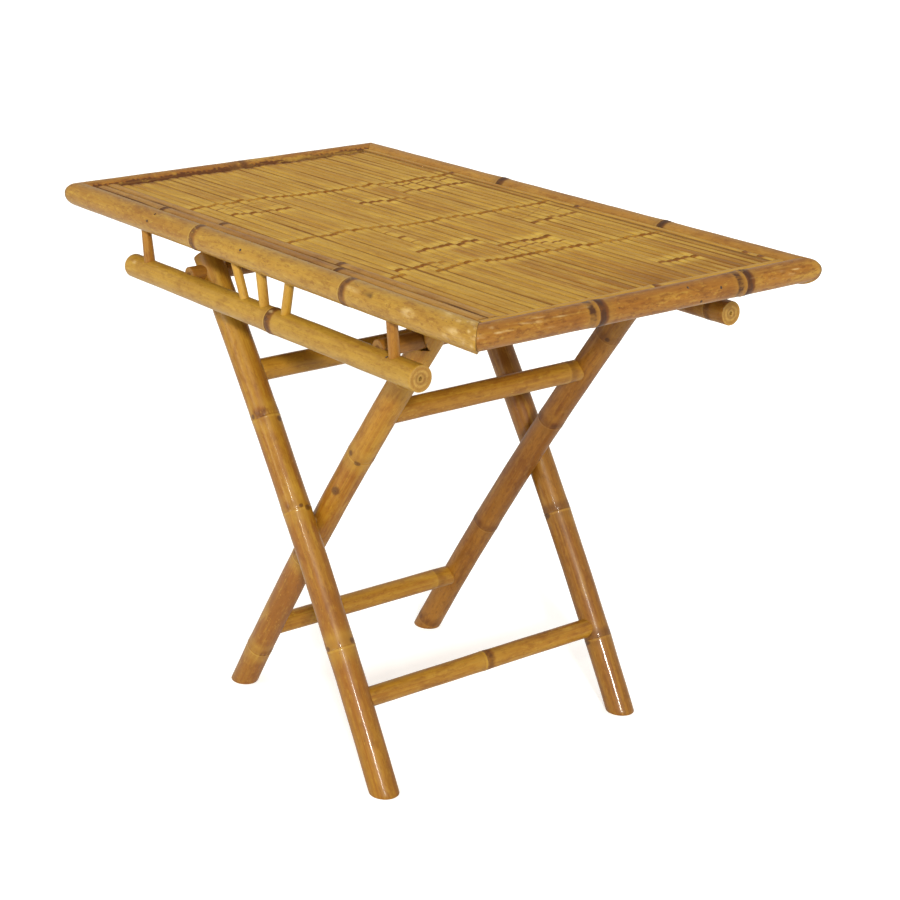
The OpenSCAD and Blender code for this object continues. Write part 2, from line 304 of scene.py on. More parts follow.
def end_rings(curve, shape, end, s_end, sign, angles):
    """(s, radius) rings from the rim inwards; sign is -1 at the start, 1 at the far end."""
    def at(radius):
        return meet(curve, end, s_end, radius, angles)

    bevel = end.bevel * MM
    rim = at(shape(np.full(len(angles), s_end), angles))
    outer = shape(rim, angles)
    inner = outer - bevel
    edge = at(inner)
    rings = [(rim - sign * bevel * 0.9, outer),
             (edge - sign * 0.12 * bevel, outer - 0.3 * bevel),
             (edge, inner)]
    if not end.bore:
        return rings + [(at(inner * f), inner * f) for f in (0.85, 0.6, 0.3)]
    bore = end.bore * MM * (1 + 0.05 * np.cos(2 * angles + 1) + 0.03 * np.cos(3 * angles))
    for f in (0.15, 0.45, 0.8):
        radius = inner * (1 - f) + (bore + 0.6 * MM) * f
        rings.append((at(radius), radius))
    lip = bore + 0.5 * MM
    rings.append((at(lip) - sign * 0.1 * MM, lip))
    mouth = at(bore)
    rings.append((mouth - sign * 0.7 * MM, bore))
    depth = end.depth * MM
    for f in (0.3, 0.7, 1.0):
        rings.append((mouth * (1 - f) + (s_end - sign * depth) * f,
                      bore * (1 + 0.02 * np.sin(5 * f + angles))))
    for extra, f in ((0.8, 0.8), (1.2, 0.35)):
        rings.append((np.full(len(angles), s_end - sign * (depth + extra * MM)), bore * f))
    return rings


def end_centre(curve, end, s_end, innermost, angles):
    s = innermost[0].mean()
    if end.normal is not None and not end.bore:
        s = float(meet(curve, end, s_end, np.zeros(len(angles)), angles).mean())
    return curve.frame(np.array([s]))[0]


def tube(name, curve, shape, ends, materials, start=0, end=None, sides=48, step=16, **look):
    """A closed culm from start to end; materials are skin and cut, look goes to paint."""
    end = curve.length if end is None else end
    angles = np.linspace(0, 2 * PI, sides, endpoint=False)
    first = end_rings(curve, shape, ends[0], start, -1, angles)
    last = end_rings(curve, shape, ends[1], end, 1, angles)
    rings = first[::-1]
    # slanted ends shear the nearby cross sections
    shift0, shift1 = first[0][0] - start, last[0][0] - end
    reach = 3.2 * shape.r0
    for at in stations(start, end, shape.rings, step)[1:-1]:
        weight0 = max(0.0, 1 - (at - start) / reach)
        weight1 = max(0.0, 1 - (end - at) / reach)
        s = at + weight0 * shift0 + weight1 * shift1
        rings.append((s, shape(s, angles)))
    skin_bands = range(len(first) - 2, len(rings) + 1)
    rings += last
    verts = [surface(curve, s, radius, angles)[0] for s, radius in rings]
    verts.append(end_centre(curve, ends[0], start, first[-1], angles))
    verts.append(end_centre(curve, ends[1], end, last[-1], angles))
    tip0 = len(rings) * sides
    tip1 = tip0 + 1
    pairs = [(i, (i + 1) % sides) for i in range(sides)]
    faces, indices = [], []
    for k in range(len(rings) - 1):
        low, high = k * sides, (k + 1) * sides
        faces += [(low + i, low + j, high + j, high + i) for i, j in pairs]
        indices += [0 if k in skin_bands else 1] * sides
    top = tip0 - sides
    faces += [(tip0, j, i) for i, j in pairs]
    faces += [(top + i, top + j, tip1) for i, j in pairs]
    indices += [1] * (2 * sides)
    ob = add_mesh(name, np.concatenate(verts), faces, materials, indices)
    paint(ob, curve, shape, **look)
    return ob


def ring_stain(strength, distance):
    """Ring strength, fading out 24 to 40 mm away."""
    fade = np.clip((40.0 - np.abs(distance)) / 16.0, 0, 1)
    return strength * fade * fade * (3 - 2 * fade)


def paint(ob, curve, shape, tone=0.0, grain_shift=0, dull=0.0, shade=None):
    """Store what the shaders read. tone and dull: one value, or values spread evenly along
    the culm; shade(s, angle) adds to the tone."""
    co = np.zeros(len(ob.data.vertices) * 3)
    ob.data.vertices.foreach_get("co", co)
    s, up, across = curve.project(co.reshape(-1, 3))
    angle = np.arctan2(across, up)

    def spread(values):
        values = np.atleast_1d(values)
        return np.interp(s, np.linspace(0, curve.length, len(values)), values)

    distance, strength = shape.near(s, angle)
    distance = np.clip(distance / MM, -60, 60)
    tones = spread(tone)
    if shade:
        tones = tones + shade(s, angle)
    write_attributes(ob.data, {
        "dull": spread(dull),
        "grain": np.stack([s + grain_shift, up, across], -1),
        "nd": distance,
        "scar": shape.scar(s, angle),
        "tone": tones,
        "lite": shape.glint(s, angle),
        "rr": np.hypot(up, across) / np.maximum(shape(s, angle), 1e-6),
        "edge": np.zeros(len(s)),
        "nstr": ring_stain(strength, distance)})


def cane(node, body, slot, *parts, **options):
    """A culm that replaces a CAD node."""
    place(tube(f"{node}_cane", *parts, **options), body, node)


# ---------------------------------------------------------------- split strips
# Places across a strip's top, from one edge (-1) to the other (1)
PROFILE = np.array([-1.0, -0.93, -0.8, -0.55, -0.25, 0.0, 0.25, 0.55, 0.8, 0.93, 1.0])


def split_strip(start, end, low, high, top, crown, rings, seed, tone, axis="x", tilt=0.0,
                raised=0.0, mark=1.0, sway=0.35, skew=0.0, dark_and_shaded_start=0.0, end_tone=0.0):
    """One strip along an axis, start to end and low to high across it (mm).
    rings: (place, ridge height) or (place, ridge height, stain); mark is the stain where none is
    given. stub: length of the dark start, which is partly the dark cut end and partly painted
    shade of the gap by the left culm; end_tone: darkening past 300 mm."""
    rng = random.Random(seed)
    s = [start, end, start + 0.8, end - 0.8, start + 3, end - 3]
    s += [start + 7, start + 11, start + 16]
    s += list(np.arange(start, end, 22.0))
    for at, *_ in rings:
        s += [at + offset for offset in STRIP_RING_OFFSETS]
    s = thin_out(sorted(x for x in s if start <= x <= end), 0.25)
    count, top_count, width = len(s), len(PROFILE), len(PROFILE) + 2
    phase = [rng.uniform(0, 6.28) for _ in range(6)]
    middle = (low + high) / 2
    path = middle + sway * np.sin(s / 97.0 + phase[0]) + 0.5 * sway * np.sin(s / 41.0 + phase[1])
    half = (high - low) / 2 * (1 + 0.03 * np.sin(s / 63.0 + phase[2]))
    wave = 0.25 * np.sin(s / 120.0 + phase[3])
    distance = np.full(count, 60.0)
    ridge = np.zeros(count)
    stain = np.full(count, mark)
    jump = np.zeros(count)                       # the tone steps at each stained ring
    for at, height, *own in rings:
        d = s - at
        closer = np.abs(d) < np.abs(distance)
        if own:
            stain = np.where(closer, own[0], stain)
            jump += rng.uniform(-0.13, 0.13) * (d > 0)
        distance = np.where(closer, d, distance)
        ridge += height * (0.85 * np.exp(-(d / 2.2) ** 2) - 0.28 * np.exp(-((d - 3.6) / 1.6) ** 2)
                           + 0.35 * np.exp(-((d - 8.0) / 3.0) ** 2))
    top_z = (top + wave[:, None] + raised + ridge[:, None] * (1 - 0.35 * PROFILE ** 2)
             - crown * PROFILE ** 2 - 0.35 * np.clip(np.abs(PROFILE) - 0.9, 0, 1) / 0.1
             + tilt * PROFILE)
    for k, drop in ((0, 0.35), (1, 0.08)):       # softened sawn ends
        top_z[k] -= drop
        top_z[count - 1 - k] -= drop
    z = np.concatenate([top_z, np.full((count, 2), SLAT_BOTTOM)], 1)
    across = np.concatenate([path[:, None] + half[:, None] * PROFILE,
                             (path + half * 0.97)[:, None], (path - half * 0.97)[:, None]], 1)
    along = np.repeat(s[:, None], width, 1)
    along[0, :top_count] += skew * PROFILE
    points = [along, across, z] if axis == "x" else [across, along, z]
    faces, indices = [], []
    for k in range(count - 1):
        a, b = k * width, (k + 1) * width
        for j in range(width):
            j2 = (j + 1) % width
            faces.append((a + j, a + j2, b + j2, b + j))
            indices.append(0 if j < top_count - 1 else 1)
    faces.append(tuple(range(width - 1, -1, -1)))
    faces.append(tuple((count - 1) * width + j for j in range(width)))
    indices += [1, 1]
    drift = (0.09 * np.sin(s / 150.0 + phase[4]) + 0.05 * np.sin(s / 47.0 + phase[5])
             + end_tone * np.clip((s - 300.0) / 130.0, 0, 1))
    # painted shade: the start, by the left culm, turns dark, partly as a dark cut end and partly
    # as shade of the gap there
    if dark_and_shaded_start:
        drift = drift + 1.5 * np.clip(1.0 - (s - start) / dark_and_shaded_start, 0, 1)
    blank = np.zeros(count * width)
    attributes = {
        "grain": np.stack([np.repeat(s, width) * MM + seed * 1.37 % 7.0,
                           (across.ravel() - middle) * MM + (seed % 13) * 0.11,
                           z.ravel() * MM], -1),
        "nd": np.repeat(distance, width),
        "tone": np.repeat(tone + drift + jump, width),
        "edge": np.tile(np.concatenate([np.abs(PROFILE), [1.0, 1.0]]), count),
        "rr": np.tile(np.concatenate([np.ones(top_count), [0.75, 0.75]]), count),
        "scar": blank,
        "lite": blank,
        "nstr": np.repeat(ring_stain(stain, distance), width)}
    return np.stack(points, -1).reshape(-1, 3) * MM, faces, indices, attributes


def add_strips(node, strips, materials):
    """Join strips into one object that replaces a CAD node."""
    faces, indices, base = [], [], 0
    for verts, strip_faces, strip_indices, _ in strips:
        faces += [tuple(base + i for i in face) for face in strip_faces]
        indices += strip_indices
        base += len(verts)
    attributes = {key: np.concatenate([strip[3][key] for strip in strips])
                  for key in strips[0][3]}
    verts = np.concatenate([strip[0] for strip in strips])
    ob = add_mesh(f"{node}_split", verts, faces, materials, indices, attributes)
    place(ob, "table_top", node)


# ---------------------------------------------------------------- material graphs
class Graph:
    """A new material and short calls for its nodes."""

    def __init__(self, name):
        self.mat = bpy.data.materials.new(name)
        self.mat.use_nodes = True
        self.tree = self.mat.node_tree
        self.tree.nodes.clear()

    def node(self, kind, **settings):
        count = len(self.tree.nodes)
        node = self.tree.nodes.new(kind)
        node.location = (-220 * (count % 9), -180 * (count // 9))
        for key, value in settings.items():
            setattr(node, key, value)
        return node

    def put(self, socket, value):
        """Link the socket to an output, or set its value."""
        if hasattr(value, "is_output"):
            self.tree.links.new(value, socket)
        else:
            socket.default_value = value

    def math(self, operation, a, b=0.0, clamp=False):
        node = self.node("ShaderNodeMath", operation=operation, use_clamp=clamp)
        for i, value in enumerate((a, b, 0.0)):
            self.put(node.inputs[i], value)
        return node.outputs[0]

    def times(self, first, *others, clamp=False):
        for i, other in enumerate(others, 1):
            first = self.math("MULTIPLY", first, other, clamp=clamp and i == len(others))
        return first

    def plus(self, first, *others):
        for other in others:
            first = self.math("ADD", first, other)
        return first

    def minus(self, a, b, clamp=False):
        return self.math("SUBTRACT", a, b, clamp=clamp)

    def rise(self, value, start, end, low=0.0, high=1.0, smooth=True):
        """Ramp from low to high as value goes from start to end."""
        node = self.node("ShaderNodeMapRange", clamp=True,
                         interpolation_type="SMOOTHSTEP" if smooth else "LINEAR")
        for key, v in (("Value", value), ("From Min", start), ("From Max", end),
                       ("To Min", low), ("To Max", high)):
            self.put(node.inputs[key], v)
        return node.outputs["Result"]

    def fall(self, value, start, end, high=1.0):
        """Ramp from high to 0 as value goes from start to end."""
        return self.rise(value, start, end, high, 0.0)

    def mix(self, factor, a, b, mode="MIX"):
        node = self.node("ShaderNodeMix", data_type="RGBA", blend_type=mode, clamp_factor=True)
        self.put(node.inputs[0], factor)
        for i, color in ((6, a), (7, b)):
            self.put(node.inputs[i], (*color, 1) if isinstance(color, tuple) else color)
        return node.outputs[2]

    def attribute(self, name, output="Fac"):
        node = self.node("ShaderNodeAttribute", attribute_name=name, attribute_type="GEOMETRY")
        return node.outputs[output]

    def object_coords(self):
        return self.node("ShaderNodeTexCoord").outputs["Object"]

    def stretched(self, kind, coords, scale, shift, **settings):
        """A 3D texture on coordinates scaled per axis and moved by shift."""
        mapping = self.node("ShaderNodeMapping", vector_type="POINT")
        self.put(mapping.inputs["Vector"], coords)
        mapping.inputs["Scale"].default_value = scale
        mapping.inputs["Location"].default_value = (shift, shift * 0.7, shift * 1.3)
        node = self.node(kind, **settings)
        self.put(node.inputs["Vector"], mapping.outputs[0])
        node.inputs["Scale"].default_value = 1.0
        return node

    def noise(self, coords, scale, shift=0.0, detail=3.0, rough=0.6, distortion=0.0):
        node = self.stretched("ShaderNodeTexNoise", coords, scale, shift, noise_dimensions="3D")
        node.inputs["Detail"].default_value = detail
        node.inputs["Roughness"].default_value = rough
        node.inputs["Distortion"].default_value = distortion
        return node.outputs["Fac"]

    def cells(self, coords, scale, shift):
        node = self.stretched("ShaderNodeTexVoronoi", coords, scale, shift, feature="F1")
        return node.outputs["Distance"]

    def fibre_tint(self, color, fibres, low, high):
        """Darken and lighten a colour along the fibres."""
        level = self.rise(fibres, 0.3, 0.7, low, high, smooth=False)
        gray = self.node("ShaderNodeCombineColor")
        for i in range(3):
            self.put(gray.inputs[i], level)
        return self.mix(1.0, color, gray.outputs[0], "MULTIPLY")

    def bump(self, height, strength, distance):
        node = self.node("ShaderNodeBump")
        node.inputs["Strength"].default_value = strength
        node.inputs["Distance"].default_value = distance
        self.put(node.inputs["Height"], height)
        return node.outputs[0]

    def finish(self, color, roughness, normal, **others):
        """Principled surface; underscores in other input names stand for spaces."""
        shader = self.node("ShaderNodeBsdfPrincipled")
        inputs = {"Base Color": color, "Roughness": roughness, "Normal": normal}
        inputs.update((key.replace("_", " "), value) for key, value in others.items())
        for key, value in inputs.items():
            self.put(shader.inputs[key], value)
        output = self.node("ShaderNodeOutputMaterial")
        self.tree.links.new(shader.outputs[0], output.inputs[0])
        return self.mat


def scaled(color, *factors):
    """Colour times one factor, or one factor per channel."""
    return tuple(c * k for c, k in zip(color, factors * 3))


# ---------------------------------------------------------------- materials
def skin(name, gold, brown, pale, shift, band=(0.10, 0.038, 0.008), warm=(0.27, 0.110, 0.015),
         mottle=0.6, streak=0.75, gloss=0.45, specks=0.4, grit=0.30, broad=0.35, waxy=0.0,
         dark_lines=0.0, soft=0.0, band_width=1.0, glow=0.30, halo=0.25, scar_line=0.40,
         pre_stain=0.0, groove=(0.06, 0.024, 0.005), gap=None, gap_amount=0.5, specular=0.30):
    """Varnished bamboo skin.

    gold, brown, pale: the main colours; shift moves the textures
    mottle, broad, waxy: small blotches, large blotches, extra pale patches
    streak, dark_lines, specks, grit: lengthwise streaks, thin dark lines, dots, fine grain
    band, warm, groove: colours of the ring core, its surround and the line beside it
    band_width, glow, halo, soft: ring width, warm and pale surrounds, patchiness
    scar_line, pre_stain: pale line and stain before a ring
    gap, gap_amount: colour towards strip edges, partly their own darker edges and partly painted
    shade of the gaps between strips
    """
    g = Graph(name)
    grain = g.attribute("grain", "Vector")
    tone = g.attribute("tone")
    node_distance = g.attribute("nd")
    scar = g.attribute("scar")
    lite = g.attribute("lite")
    stain = g.attribute("nstr")

    def noise(along, across, offset, **settings):
        """Noise scaled along and across the culm."""
        return g.noise(grain, (along, across, across), shift + offset, **settings)

    def cells(along, across, offset):
        return g.cells(grain, (along, across, across), shift + offset)

    fibres = noise(14, 900, 0)
    streaks = noise(4.2, 210, 3, rough=0.62)
    wide = noise(3.0, 70, 9, detail=2, rough=0.5)
    blotches = noise(26, 64, 5, detail=4, rough=0.62, distortion=0.4)
    large = noise(7.5, 19, 7, detail=2, rough=0.5)
    amount = g.plus(g.times(g.rise(streaks, 0.42, 0.66), streak * 0.55),
                    g.times(g.rise(wide, 0.40, 0.62), streak * 0.38),
                    g.times(g.rise(blotches, 0.44, 0.66), mottle * 0.35),
                    g.times(g.rise(large, 0.40, 0.64), broad), tone)
    col = g.mix(g.minus(amount, 0.14, clamp=True), gold, brown)
    col = g.mix(g.times(g.rise(blotches, 0.50, 0.72), 0.60 * mottle), col,
                scaled(brown, 0.60, 0.50, 0.45))
    # tone above 0.5 turns the colour deep brown: darker bamboo, and also the painted shade carried
    # by tone on the left culm's side, the slats' dark starts and the back outer leg's top
    col = g.mix(g.times(g.minus(tone, 0.5, clamp=True), 1.2, clamp=True), col,
                scaled(brown, 0.42, 0.34, 0.30))
    # pale patches and lengthwise streaks, dark and pale grit, dark lines
    col = g.mix(g.times(g.rise(noise(10, 46, 21), 0.55, 0.72), 0.40 + waxy), col, pale)
    pale_streaks = noise(3.6, 150, 41, detail=2, rough=0.55)
    col = g.mix(g.times(g.rise(pale_streaks, 0.56, 0.70), 0.30 * streak), col, pale)
    col = g.mix(g.times(g.rise(noise(85, 230, 23, rough=0.68), 0.50, 0.66), grit), col,
                scaled(brown, 0.66, 0.56, 0.50))
    col = g.mix(g.times(g.rise(noise(65, 170, 27, rough=0.68), 0.54, 0.68), grit * 0.7), col, pale)
    if dark_lines:
        thin = noise(3.0, 420, 51, detail=2, rough=0.5)
        col = g.mix(g.times(g.rise(thin, 0.60, 0.70), dark_lines), col, scaled(brown, 0.8))
    col = g.fibre_tint(col, fibres, 0.91, 1.08)
    # node rings: pale halo, warm glow, warm band with a dark core; distances in mm
    ragged = g.times(g.minus(noise(70, 190, 2, detail=2), 0.5), 4.0 + 5.0 * soft)
    past = g.plus(node_distance, ragged)
    away = g.math("ABSOLUTE", g.minus(past, 3.0))
    col = g.mix(g.times(g.fall(away, 9.0, 32.0), halo, stain, clamp=True), col, pale)
    patchy = g.rise(noise(16, 50, 33), 0.40 + 0.12 * soft, 0.58 + 0.12 * soft, low=1.0 - soft)
    col = g.mix(g.times(g.fall(away, 5.0, 24.0 * band_width), glow, stain, patchy, clamp=True),
                col, warm)
    ring = g.times(g.rise(past, 0.0, 1.8), g.fall(past, 12.0 * band_width, 17.0 * band_width),
                   patchy, stain)
    core = g.times(g.rise(past, 1.0, 4.0), g.fall(past, 8.0 * band_width, 13.5 * band_width),
                   patchy, stain, g.rise(noise(40, 110, 35), 0.32, 0.58, low=0.35))
    col = g.mix(g.times(ring, 0.85, clamp=True), col, warm)
    col = g.mix(g.times(core, 0.92, clamp=True), col, band)
    if pre_stain:
        before = g.times(g.rise(past, -17.0, -13.0), g.fall(past, -7.0, -4.0), stain,
                         g.rise(noise(30, 80, 36), 0.36, 0.60, low=0.2))
        col = g.mix(g.times(before, pre_stain, clamp=True), col, band)
    broken = g.rise(noise(20, 60, 37, detail=2, rough=0.5), 0.38, 0.58,
                    low=1.0 - 0.9 * max(soft, 0.3))
    col = g.mix(g.times(g.rise(node_distance, -4.0, -1.6), g.fall(node_distance, -0.6, 0.6),
                        broken, g.times(stain, scar_line), clamp=True), col, pale)
    col = g.mix(g.times(g.rise(node_distance, 0.0, 0.8), g.fall(node_distance, 1.4, 3.0),
                        patchy, g.times(stain, 0.5), clamp=True), col, groove)
    # branch scars with a dark eye
    col = g.mix(g.times(g.rise(scar, 0.22, 0.62), 0.80), col, scaled(band, 0.8))
    col = g.mix(g.times(g.rise(scar, 0.88, 0.97), 0.7), col, (0.04, 0.017, 0.005))
    # dark specks, pale specks, and painted highlights at the glint spots
    dark = g.times(g.fall(cells(150, 330, 11), 0.10, 0.24),
                   g.rise(noise(26, 60, 13, detail=2, rough=0.5), 0.56, 0.68))
    col = g.mix(g.times(dark, specks), col, (0.07, 0.028, 0.006))
    light_specks = g.times(g.fall(cells(120, 260, 17), 0.16, 0.34),
                           g.rise(noise(30, 44, 19, detail=2, rough=0.5), 0.56, 0.66))
    col = g.mix(g.times(light_specks, 0.55 * specks + 0.05), col, pale)
    glint_breakup = g.rise(noise(60, 120, 43), 0.36, 0.60, low=0.15)
    # painted highlight: glint spots mixed towards pale yellow, broken up by noise
    col = g.mix(g.times(g.rise(lite, 0.05, 0.9), glint_breakup, 0.46, clamp=True), col,
                (0.74, 0.56, 0.27))
    # darker towards strip edges: partly the edges' own colour, partly painted shade of the gaps
    # between strips
    if gap is not None:
        near_edge = g.plus(g.attribute("edge"), g.times(g.minus(streaks, 0.5), 0.6))
        uneven = g.rise(noise(5, 9, 61, detail=2, rough=0.5), 0.38, 0.62, low=0.15)
        col = g.mix(g.times(g.rise(near_edge, 0.70, 1.0), uneven, gap_amount), col, gap)
    roughness = g.plus(g.times(blotches, 0.24), 0.46 - 0.20 * gloss, g.times(ring, 0.12))
    height = g.minus(g.plus(g.times(fibres, 0.5), g.times(streaks, 0.5)), g.times(dark, 0.35))
    height = g.plus(height, g.times(blotches, 0.35))
    varnish = g.times(g.minus(1.0, g.attribute("dull"), clamp=True), 0.42 * gloss)
    return g.finish(col, roughness, g.bump(height, strength=0.32, distance=0.0009),
                    Coat_Weight=varnish, Coat_Roughness=0.10, IOR=1.46,
                    Specular_IOR_Level=specular)


def flesh(name, pale, dark, rim, rings=False):
    """Cut bamboo: straw end grain with fibre dots, darker at the rim and in the bore.
    rings draws the layers of a thick wall instead of a bore."""
    g = Graph(name)
    grain = g.attribute("grain", "Vector")
    depth = g.attribute("rr")                    # 0 on the centre line, 1 at the skin
    dots = g.fall(g.cells(grain, (30, 900, 900), 2.0), 0.16, 0.36)
    dirt = g.noise(grain, (60, 130, 130), 4.0)
    fibres = g.noise(grain, (14, 700, 700), 6.0)
    blend = tuple(a * 0.55 + b * 0.45 for a, b in zip(pale, dark))
    col = g.mix(g.rise(dirt, 0.42, 0.66), pale, blend)
    col = g.mix(g.times(dots, g.rise(depth, 0.4, 0.95, low=0.25, high=0.7)), col, dark)
    col = g.mix(g.rise(depth, 0.86, 0.98, high=0.65), col, rim)
    if rings:                                    # pale rim, brown ring, pale pith, dark core
        wavy = g.plus(depth, g.times(g.minus(dirt, 0.5), 0.16))
        col = g.mix(g.rise(wavy, 0.90, 0.97, high=0.8), col, scaled(pale, 0.95))
        col = g.mix(g.times(g.rise(wavy, 0.58, 0.72), g.fall(wavy, 0.78, 0.92), 0.75), col, rim)
        col = g.mix(g.times(g.rise(wavy, 0.22, 0.36), g.fall(wavy, 0.40, 0.54), 0.6), col, dark)
        col = g.mix(g.fall(wavy, 0.08, 0.16, high=0.9), col, scaled(dark, 0.5))
    else:
        col = g.mix(g.fall(depth, 0.30, 0.56, high=0.75), col, dark)
    col = g.fibre_tint(col, fibres, 0.86, 1.1)
    height = g.plus(g.times(dots, -0.5), g.times(dirt, 0.7))
    return g.finish(col, g.plus(g.times(dirt, 0.25), 0.55),
                    g.bump(height, strength=0.4, distance=0.0008), Specular_IOR_Level=0.3)


def pin_bamboo(name, light_color, dark_color):
    """Dowel bamboo with its fibres along Y."""
    g = Graph(name)
    coords = g.object_coords()
    fibres = g.noise(coords, (700, 20, 700))
    blotches = g.noise(coords, (120, 60, 120))
    col = g.mix(g.rise(blotches, 0.4, 0.65), light_color, dark_color)
    return g.finish(g.fibre_tint(col, fibres, 0.8, 1.12), g.plus(g.times(blotches, 0.3), 0.4),
                    g.bump(fibres, strength=0.3, distance=0.0006))


def nail_metal(name):
    """Dark steel with rust and a few bright patches."""
    g = Graph(name)
    coords = g.object_coords()
    rust = g.noise(coords, (700, 700, 700), detail=4, rough=0.65)
    bright = g.noise(coords, (260, 260, 260), 3.0, detail=2, rough=0.5)
    col = g.mix(g.rise(rust, 0.4, 0.65), (0.055, 0.048, 0.042), (0.16, 0.07, 0.03))
    col = g.mix(g.rise(bright, 0.5, 0.7, high=0.6), col, (0.22, 0.2, 0.18))
    return g.finish(col, g.rise(rust, 0.3, 0.7, low=0.38, high=0.75),
                    g.bump(rust, strength=0.35, distance=0.0004), Metallic=0.75)


slat_skin = skin(
    "slat_bamboo", gold=(0.475, 0.274, 0.033), brown=(0.335, 0.148, 0.014),
    pale=(0.60, 0.39, 0.060), shift=1.0, band=(0.180, 0.064, 0.005), warm=(0.29, 0.110, 0.010),
    mottle=0.30, streak=0.70, gloss=0.12, specks=0.30, band_width=0.62, glow=0.22, halo=0.60,
    gap=(0.165, 0.060, 0.006), gap_amount=0.95, broad=0.25, specular=0.15, dark_lines=0.85,
    scar_line=0.75, groove=(0.125, 0.050, 0.006), grit=0.20)
strip_skin = skin(
    "strip_bamboo", gold=(0.410, 0.205, 0.026), brown=(0.255, 0.105, 0.012),
    pale=(0.50, 0.31, 0.075), shift=2.0, band=(0.080, 0.030, 0.006), warm=(0.19, 0.072, 0.009),
    mottle=0.5, streak=0.95, gloss=0.35, specks=0.5, band_width=0.8, halo=0.15,
    gap=(0.070, 0.026, 0.004), gap_amount=1.0, specular=0.15, dark_lines=0.7, grit=0.25)
edge_skin = skin(
    "edge_bamboo", gold=(0.475, 0.262, 0.026), brown=(0.335, 0.142, 0.011),
    pale=(0.57, 0.37, 0.060), shift=3.0, band=(0.13, 0.044, 0.006), warm=(0.25, 0.095, 0.010),
    mottle=0.4, streak=0.8, gloss=0.35, specks=0.35, band_width=0.8,
    gap=(0.22, 0.088, 0.010), gap_amount=0.7, specular=0.18, dark_lines=0.5, grit=0.2)
long_skin = skin(
    "long_culm_bamboo", gold=(0.405, 0.230, 0.025), brown=(0.270, 0.118, 0.011),
    pale=(0.50, 0.325, 0.050), shift=4.0, band=(0.085, 0.031, 0.005), warm=(0.23, 0.088, 0.008),
    mottle=0.55, streak=0.35, specks=0.60, broad=0.25, grit=0.50)
back_skin = skin(
    "back_culm_bamboo", gold=(0.370, 0.180, 0.023), brown=(0.265, 0.108, 0.010),
    pale=(0.45, 0.26, 0.045), shift=5.0, band=(0.055, 0.020, 0.004), warm=(0.13, 0.047, 0.006),
    mottle=0.5, streak=0.5, gloss=0.40, specks=0.45, scar_line=0.2, grit=0.4)
short_skin = skin(
    "short_culm_bamboo", gold=(0.310, 0.132, 0.013), brown=(0.220, 0.078, 0.006),
    pale=(0.45, 0.26, 0.036), shift=6.0, band=(0.060, 0.019, 0.003), warm=(0.14, 0.044, 0.004),
    mottle=0.75, streak=0.7, specks=0.75, waxy=0.30, pre_stain=0.8, scar_line=0.12, grit=0.60)
rail_skin = skin(
    "rail_bamboo", gold=(0.385, 0.220, 0.023), brown=(0.270, 0.118, 0.010),
    pale=(0.50, 0.31, 0.050), shift=7.0, band=(0.100, 0.036, 0.005), warm=(0.19, 0.072, 0.007),
    mottle=0.45, streak=0.5, broad=0.25, grit=0.35)
strut_skin = skin(
    "strut_bamboo", gold=(0.430, 0.238, 0.026), brown=(0.300, 0.130, 0.012),
    pale=(0.52, 0.33, 0.055), shift=8.0, mottle=0.4, streak=0.6, specks=0.3, soft=0.5)
post_skin = skin(
    "post_bamboo", gold=(0.325, 0.145, 0.015), brown=(0.225, 0.082, 0.007),
    pale=(0.43, 0.25, 0.036), shift=9.0, streak=0.8, soft=0.5, grit=0.4)
bar_skin = skin(
    "bar_bamboo", gold=(0.250, 0.105, 0.011), brown=(0.165, 0.058, 0.005),
    pale=(0.34, 0.17, 0.024), shift=10.0, band=(0.08, 0.027, 0.004), streak=0.6, gloss=0.30)
back_rail_skin = skin(
    "back_rail_bamboo", gold=(0.280, 0.120, 0.012), brown=(0.185, 0.064, 0.005),
    pale=(0.42, 0.24, 0.036), shift=14.0, band=(0.08, 0.027, 0.004), mottle=0.8, streak=0.7,
    gloss=0.40, specks=0.55, grit=0.5)
leg_front_outer_skin = skin(
    "leg_front_outer_bamboo", gold=(0.330, 0.165, 0.014), brown=(0.240, 0.090, 0.005),
    pale=(0.43, 0.255, 0.030), shift=11.0, band=(0.105, 0.036, 0.004), warm=(0.20, 0.068, 0.005),
    streak=0.95, gloss=0.70, specks=0.5, soft=0.85, glow=0.75, halo=0.40, scar_line=0.5,
    grit=0.35)
leg_front_inner_skin = skin(
    "leg_front_inner_bamboo", gold=(0.385, 0.190, 0.015), brown=(0.262, 0.095, 0.005),
    pale=(0.46, 0.275, 0.036), shift=15.0, band=(0.110, 0.038, 0.004), warm=(0.20, 0.066, 0.005),
    gloss=0.40, specks=0.55, soft=0.85, glow=0.75, halo=0.40, scar_line=0.45, grit=0.35)
leg_back_outer_skin = skin(
    "leg_back_outer_bamboo", gold=(0.262, 0.114, 0.009), brown=(0.190, 0.067, 0.004),
    pale=(0.37, 0.20, 0.026), shift=16.0, band=(0.070, 0.022, 0.003), warm=(0.120, 0.037, 0.003),
    mottle=0.65, streak=0.95, gloss=0.70, specks=0.5, soft=0.6, glow=0.5, halo=0.2,
    scar_line=0.5, grit=0.40)
leg_back_inner_skin = skin(
    "leg_back_inner_bamboo", gold=(0.268, 0.112, 0.010), brown=(0.180, 0.062, 0.004),
    pale=(0.30, 0.15, 0.020), shift=17.0, band=(0.080, 0.026, 0.003), warm=(0.125, 0.036, 0.003),
    mottle=0.65, gloss=0.30, specks=0.55, soft=0.65, glow=0.5, halo=0.15, grit=0.45)
stretcher_skin = skin(
    "stretcher_bamboo", gold=(0.342, 0.167, 0.014), brown=(0.250, 0.096, 0.007),
    pale=(0.45, 0.275, 0.036), shift=12.0, band=(0.080, 0.026, 0.003), warm=(0.19, 0.066, 0.006),
    mottle=0.70, specks=0.55, soft=0.4, scar_line=0.5, grit=0.35)
